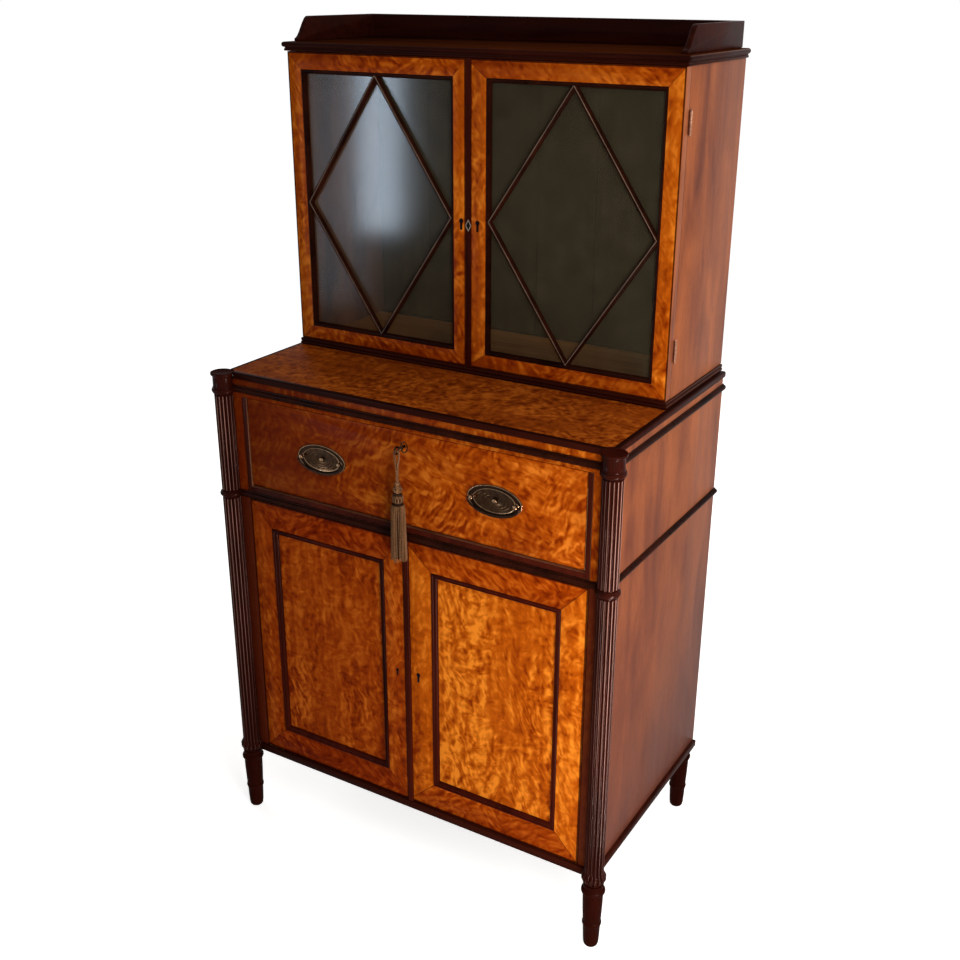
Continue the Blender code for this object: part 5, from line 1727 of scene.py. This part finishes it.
@dataclass
class MeetingBeads:
    """The reeded beads that cover where each pair of doors meets."""

    pitch: float = 0.0031
    wide: float = 0.0050
    reed_half: float = 0.00155
    reed_proud: float = 0.0016
    lozenge_height: float = 1.191

    def bead(self, node: str, name: str) -> Object:
        """Return a strip with three reeds in the box of a packed bead."""
        low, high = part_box(node)
        proud = high.y - low.y
        rows = [(-self.wide, high.y)]
        for reed in (-1, 0, 1):
            for i in range(9):
                a = math.pi * (0.04 + 0.92 * i / 8)
                deep = high.y - proud + self.reed_proud - self.reed_proud * math.sin(a) + 0.0002
                rows.append((reed * self.pitch - self.reed_half * math.cos(a), deep))
        rows.append((self.wide, high.y))
        return strip(name, [(u, y, low.z) for u, y in rows], (0.0, 0.0, high.z - low.z))

    def lozenge(self, finishes: Finishes) -> Object:
        """Return the small lozenge escutcheon on the upper bead."""
        deselect()
        place = (0.0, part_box("upper_meeting_bead")[0].y + 0.0003, self.lozenge_height)
        bpy.ops.mesh.primitive_circle_add(vertices=4, radius=1.0, fill_type="NGON", location=place)
        plate = added("bead_lozenge", turn=UPRIGHT, scale=(0.0060, 0.0105, 1.0))
        with editing(plate):
            push((0.0, -0.0002, 0.0))
            for inward, forward in ((0.0004, 0.0002), (0.0009, 0.0), (0.0003, -0.0002)):
                bpy.ops.mesh.inset(thickness=inward, depth=forward)
        close_up(plate)
        coat(plate, finishes.bone)

        def in_eye(c: Vector, n: Vector) -> bool:
            """Tell whether a face is the lozenge's middle."""
            return n.y < -0.9 and math.hypot(c.x, c.z - self.lozenge_height) < 0.0005

        # The lozenge's eye is painted shade too.
        part_coat(plate, finishes.keyhole, in_eye)
        return plate

    def build(self, finishes: Finishes) -> None:
        """Make both beads and the lozenge and enter them."""
        for level in ("upper", "lower"):
            node, body = f"{level}_meeting_bead", f"{level}_right_door"
            bead = self.bead(node, f"{level}_reeded_bead")
            enter(bead, body, finishes.bead, [node])
        enter(self.lozenge(finishes), "upper_right_door", finishes.bone)


@dataclass
class ButtHinge:
    """A butt of a glazed door: its leaf between door and case and a barrel of five knuckles."""

    side: Side
    level: str
    radius: float = 0.0024
    knuckles: int = 5
    tip: float = 0.0024
    leaf_half: float = 0.0005
    tip_rows: tuple[Pair, ...] = ((0.0, 0.0), (0.0011, 0.0002), (0.0018, 0.0010), (0.0015, 0.0019))

    def build(self, finishes: Finishes) -> None:
        """Turn the barrel, add the leaf and enter the hinge."""
        stem = f"upper_{self.side.word}_{self.level}"
        low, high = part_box(f"{stem}_hinge")
        right = self.side is Side.RIGHT
        axis = high.x - self.radius if right else low.x + self.radius
        depth = (low.y + high.y) / 2
        rows = [(out, high.z - down) for out, down in self.tip_rows]
        top, foot = high.z - self.tip, low.z + self.tip
        step = (top - foot) / self.knuckles
        for i in range(self.knuckles):
            start, end = top - i * step, top - (i + 1) * step
            rows += [(self.radius - 0.0006, start), (self.radius, start - 0.0004)]
            rows += [(self.radius, end + 0.0004), (self.radius - 0.0006, end)]
        rows += [(out, low.z + up) for out, up in reversed(self.tip_rows)]
        barrel = turned("barrel", rows, (axis, depth, 0.0), 24)
        near, far = sorted((low.x if right else high.x, axis))
        front, back = depth - self.leaf_half, depth + self.leaf_half
        leaf = block("leaf", (near, front, foot), (far, back, top), 0.0001)
        hinge = joined(f"{stem}_butt", [barrel, leaf])
        enter(hinge, "carcass", finishes.coppery, [f"{stem}_hinge"])


@dataclass
class Carcass:
    """The boards and mouldings of both cases."""

    ring_in: float = 0.012
    band_flat: float = 0.0022
    band_lip: float = 0.0018
    band_gap: float = 0.0003
    band_start: float = 0.004
    floor_inset: float = 0.0125
    floor_beads: tuple[Quad, ...] = (
        (0.0, 0.0056, 0.0, 0.0026),
        (0.0050, 0.0070, 0.0020, 0.0002),
        (0.0064, 0.0120, 0.0005, 0.0024),
    )
    top_beads: tuple[Quad, ...] = (
        (0.0, 0.0042, 0.0036, 0.0018),
        (0.0036, 0.0066, 0.0052, 0.0002),
        (0.0062, 0.0150, 0.0, 0.0042),
    )

    def ease(self, node: str, edge: float, finish: Material, segments: int = 2) -> None:
        """Ease a packed board's edges and enter it."""
        enter(softened(node, edge, segments), "carcass", finish, [node])

    def band(self, node: str, name: str) -> Object:
        """Return a rounded band along the front and both sides, from column to column and to the back."""
        low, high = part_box(node)
        half = (high.z - low.z) / 2
        middle = (high.z + low.z) / 2
        flat, lip = self.band_flat, self.band_lip
        proud = high.x - CASE_HALF
        rows = [(0.0, half), (lip, half)]
        rows += [(flat + (proud - flat) * math.sin(a), (half - lip) * math.cos(a)) for a in half_turn(9)]
        rows += [(lip, -half), (0.0, -half)]
        start = -COLUMN_OUT + self.ring_in
        points = [(start, FACE - self.band_gap - u, middle + v) for u, v in rows]
        pieces = [strip("front", points, (-2 * start, 0.0, 0.0))]
        for side in (-1, 1):
            out = CASE_HALF + self.band_gap
            points = [(side * (out + u), FACE + self.band_start, middle + v) for u, v in rows]
            pieces.append(strip("side", points, (0.0, high.y - FACE - self.band_start, 0.0)))
        return joined(name, pieces)

    def moulded(self, node: str, layers: Sequence[Quad]) -> Object:
        """Return a board whose front and side edges are run with a moulding.

        Args:
            node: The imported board.
            layers: Foot and crest above the board's underside, setback and rounding of each member.

        Returns:
            The new object.
        """
        name = f"{node}_moulded"
        low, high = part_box(node)
        pieces = []
        for foot, crest, setback, rounding in layers:
            near = (low.x + setback, low.y + setback, low.z + foot)
            far = (high.x - setback, high.y, low.z + crest)
            pieces.append(smooth(block(name, near, far, rounding)))
        return joined(name, pieces)

    def desk(self, finishes: Finishes) -> None:
        """Ease the desk's ledge and the frame of the case's face."""
        dark, mid, light = (0.14, 0.021, 0.002), (0.30, 0.057, 0.005), (0.50, 0.118, 0.011)
        looks = {"lean": 12.0, "seed": 21.0, "mottle": 0.8, "roughness": 0.36, "gloss": 0.006}
        rich = DeskBoard("satinwood_desk_top", Grain.ALONG, dark, mid, light, **looks)
        desk = coat(softened("desk_top", 0.0010), rich.make())
        part_coat(desk, finishes.dark_edge, lambda c, n: n.z < 0.5)
        enter(desk, "carcass", finishes.side, ["desk_top"])
        shades = shades_of((0.74, 0.66, 0.7))
        # The stiles darken towards the left: painted shade.
        stiles = FaceStile("satinwood_face", Grain.UP, seed=27.0, painted_shade_left=(-0.30, 0.34, 0.80), **shades)
        dark, mid, light = (0.050, 0.0055, 0.001), (0.100, 0.0125, 0.002), (0.17, 0.026, 0.003)
        rail = Satinwood("satinwood_frieze", Grain.ALONG, dark, mid, light, seed=29.0, mottle=0.7)
        frieze_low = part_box("frieze_moulding")[0].z
        face = coat(softened("face_frame", 0.0006), stiles.make())
        part_coat(face, rail.make(), lambda c, n: c.z > frieze_low)
        enter(face, "carcass", finishes.side, ["face_frame"])

    def floor_and_top(self, finishes: Finishes) -> None:
        """Run the mouldings on the glazed case's floor and top, with a highlight painted on their crests that
        turn up and out at the sides.
        """
        low, high = (0.030, 0.010, 0.006), (0.140, 0.056, 0.036)
        # Painted highlight for the moulding crests at the sides.
        rubbed = Mahogany("painted_highlight_moulding", Grain.DEEP, low, high, 0.34, 0.02).make()

        def on_lit_side_crest(c: Vector, n: Vector) -> bool:
            """Tell whether a face is tilted up and out along a side."""
            return 0.5 < n.z < 0.9 and abs(n.x) > 0.3

        low, high = (0.40, 0.125, 0.024), (0.78, 0.31, 0.070)
        wood = Mahogany("cabinet_floor", Grain.ALONG, low, high, 0.4, 0.02).make()
        floor = coat(self.moulded("upper_floor", self.floor_beads), wood)
        floor_low, floor_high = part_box("upper_floor")
        middle = (floor_low + floor_high) / 2
        crest = floor_high.z - 0.0002
        with editing(floor):
            pick_faces(floor, lambda c, n: n.z > 0.9 and c.z > crest)
            bpy.ops.mesh.inset(thickness=self.floor_inset)
        part_coat(
            floor, finishes.dark_edge, lambda c, n: c.z < crest or math.hypot(c.x, c.y - middle.y) > 0.05
        )
        part_coat(floor, rubbed, on_lit_side_crest)
        enter(floor, "carcass", finishes.side, ["upper_floor"])

        low, high = (0.050, 0.010, 0.003), (0.15, 0.034, 0.009)
        wood = Mahogany("cabinet_top", Grain.ALONG, low, high, 0.55, 0.0).make()
        top = coat(self.moulded("upper_top", self.top_beads), wood)
        part_coat(top, finishes.dark_edge, lambda c, n: n.z < 0.9)
        part_coat(top, rubbed, on_lit_side_crest)
        enter(top, "carcass", finishes.side, ["upper_top"])

    def build(self, finishes: Finishes) -> None:
        """Ease the boards, run the mouldings and enter them."""
        for word in ("waist", "frieze"):
            node = f"{word}_moulding"
            enter(self.band(node, f"{word}_band"), "carcass", finishes.ebony, [node])
        self.desk(finishes)
        for node in ("lower_left_side", "lower_right_side", "upper_left_side", "upper_right_side"):
            self.ease(node, 0.0008, finishes.side)
        self.ease("base_board", 0.0010, finishes.dark_edge)
        self.floor_and_top(finishes)
        self.ease("gallery", 0.0012, finishes.dark_edge, 3)

        dress("lower_back", PlainBoards("pine_backboards").make())
        # The glazed case's back boards are coloured very dark, much darker than the pine back below.
        shades = {"dark": (0.040, 0.027, 0.013), "light": (0.080, 0.054, 0.027)}
        dress("upper_back", PlainBoards("dark_backboards", sawn=0.0, relief=0.04, **shades).make())
        dress("dust_board", PlainBoards("oak_dust_board", Grain.ALONG, Grain.DEEP, 0.15).make())
        for side in Side:
            for level in ("top", "bottom"):
                ButtHinge(side, level).build(finishes)
                dress(f"lower_{side.word}_{level}_pivot", finishes.brass)


@dataclass
class WritingDrawer:
    """The deep drawer with its fall front, writing bed and pigeonholes."""

    front_strip: float = FACE + 0.004
    bead_round: float = 0.0026

    def beaded(self, node: str) -> Object:
        """Return a board of the drawer whose front edge is rounded to a cock bead."""
        board = softened(node, 0.0005)
        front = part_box(node)[0].y
        with editing(board, "EDGE"):
            pick_edges(board, lambda a, b: max(a.y, b.y) < front + 0.0002 and (a - b).length > 0.1)
            bpy.ops.mesh.bevel(offset=self.bead_round, segments=5)
        return smooth(board)

    def build(self, finishes: Finishes) -> None:
        """Ease the drawer's boards and enter them."""
        low, high = (0.018, 0.0026, 0.0012), (0.080, 0.010, 0.004)
        bead = Mahogany("drawer_bead", Grain.UP, low, high, 0.30, 0.025).make()
        low, high = (0.09, 0.030, 0.014), (0.24, 0.090, 0.042)
        side_wood = Mahogany("drawer_side", Grain.DEEP, low, high, 0.5, 0.25).make()
        for node in ("drawer_left_side", "drawer_right_side", "drawer_bottom"):
            board = coat(self.beaded(node), side_wood)
            part_coat(board, bead, lambda c, n: c.y < self.front_strip)
            enter(board, "drawer", side_wood, [node])
        # The fall darkens towards the left: painted shade; its patches are a darker tone of the wood.
        looks = {"lean": 28.0, "seed": 36.0, "calm": 0.75, "patch": 0.66, "painted_shade_left": (-0.36, 0.24, 0.74)}
        figured = Satinwood("satinwood_fall", Grain.ALONG, **looks, **shades_of((0.80, 0.72, 0.80))).make()
        enter(softened("fall_front", 0.0006), "fall", figured, ["fall_front"])
        dress("drawer_back", finishes.lining)
        low, high = (0.13, 0.040, 0.016), (0.30, 0.115, 0.045)
        dress("writing_bed", Mahogany("writing_bed", Grain.ALONG, low, high, 0.36, 0.3).make())
        dress("pigeonhole_nest", Satinwood("satinwood_nest", Grain.ALONG, seed=41.0, mottle=0.6).make())
        small = Satinwood("satinwood_small_drawers", Grain.ALONG, lean=20.0, seed=47.0).make()
        for side in Side:
            dress(f"{side.word}_small_drawer", small)
            dress(f"{side.word}_quadrant", finishes.brass)
        dress("fall_lock", finishes.brass)


def main() -> None:
    """Build the scene: viewpoint and cord first, then the rest of the cabinet, then its light."""
    logging.basicConfig(level=logging.INFO, format="%(name)s: %(message)s")
    Viewpoint().build()
    finishes = Finishes()
    Tassel().build(finishes)
    Carcass().build(finishes)
    for side in Side:
        for kind in (ReededColumn, RearLeg, GlazedDoor, CupboardDoor, OvalHandle):
            kind(side).build(finishes)
    for kind in (MeetingBeads, KeyAndHoles, WritingDrawer):
        kind().build(finishes)
    Studio().build()


if __name__ == "__main__":
    main()
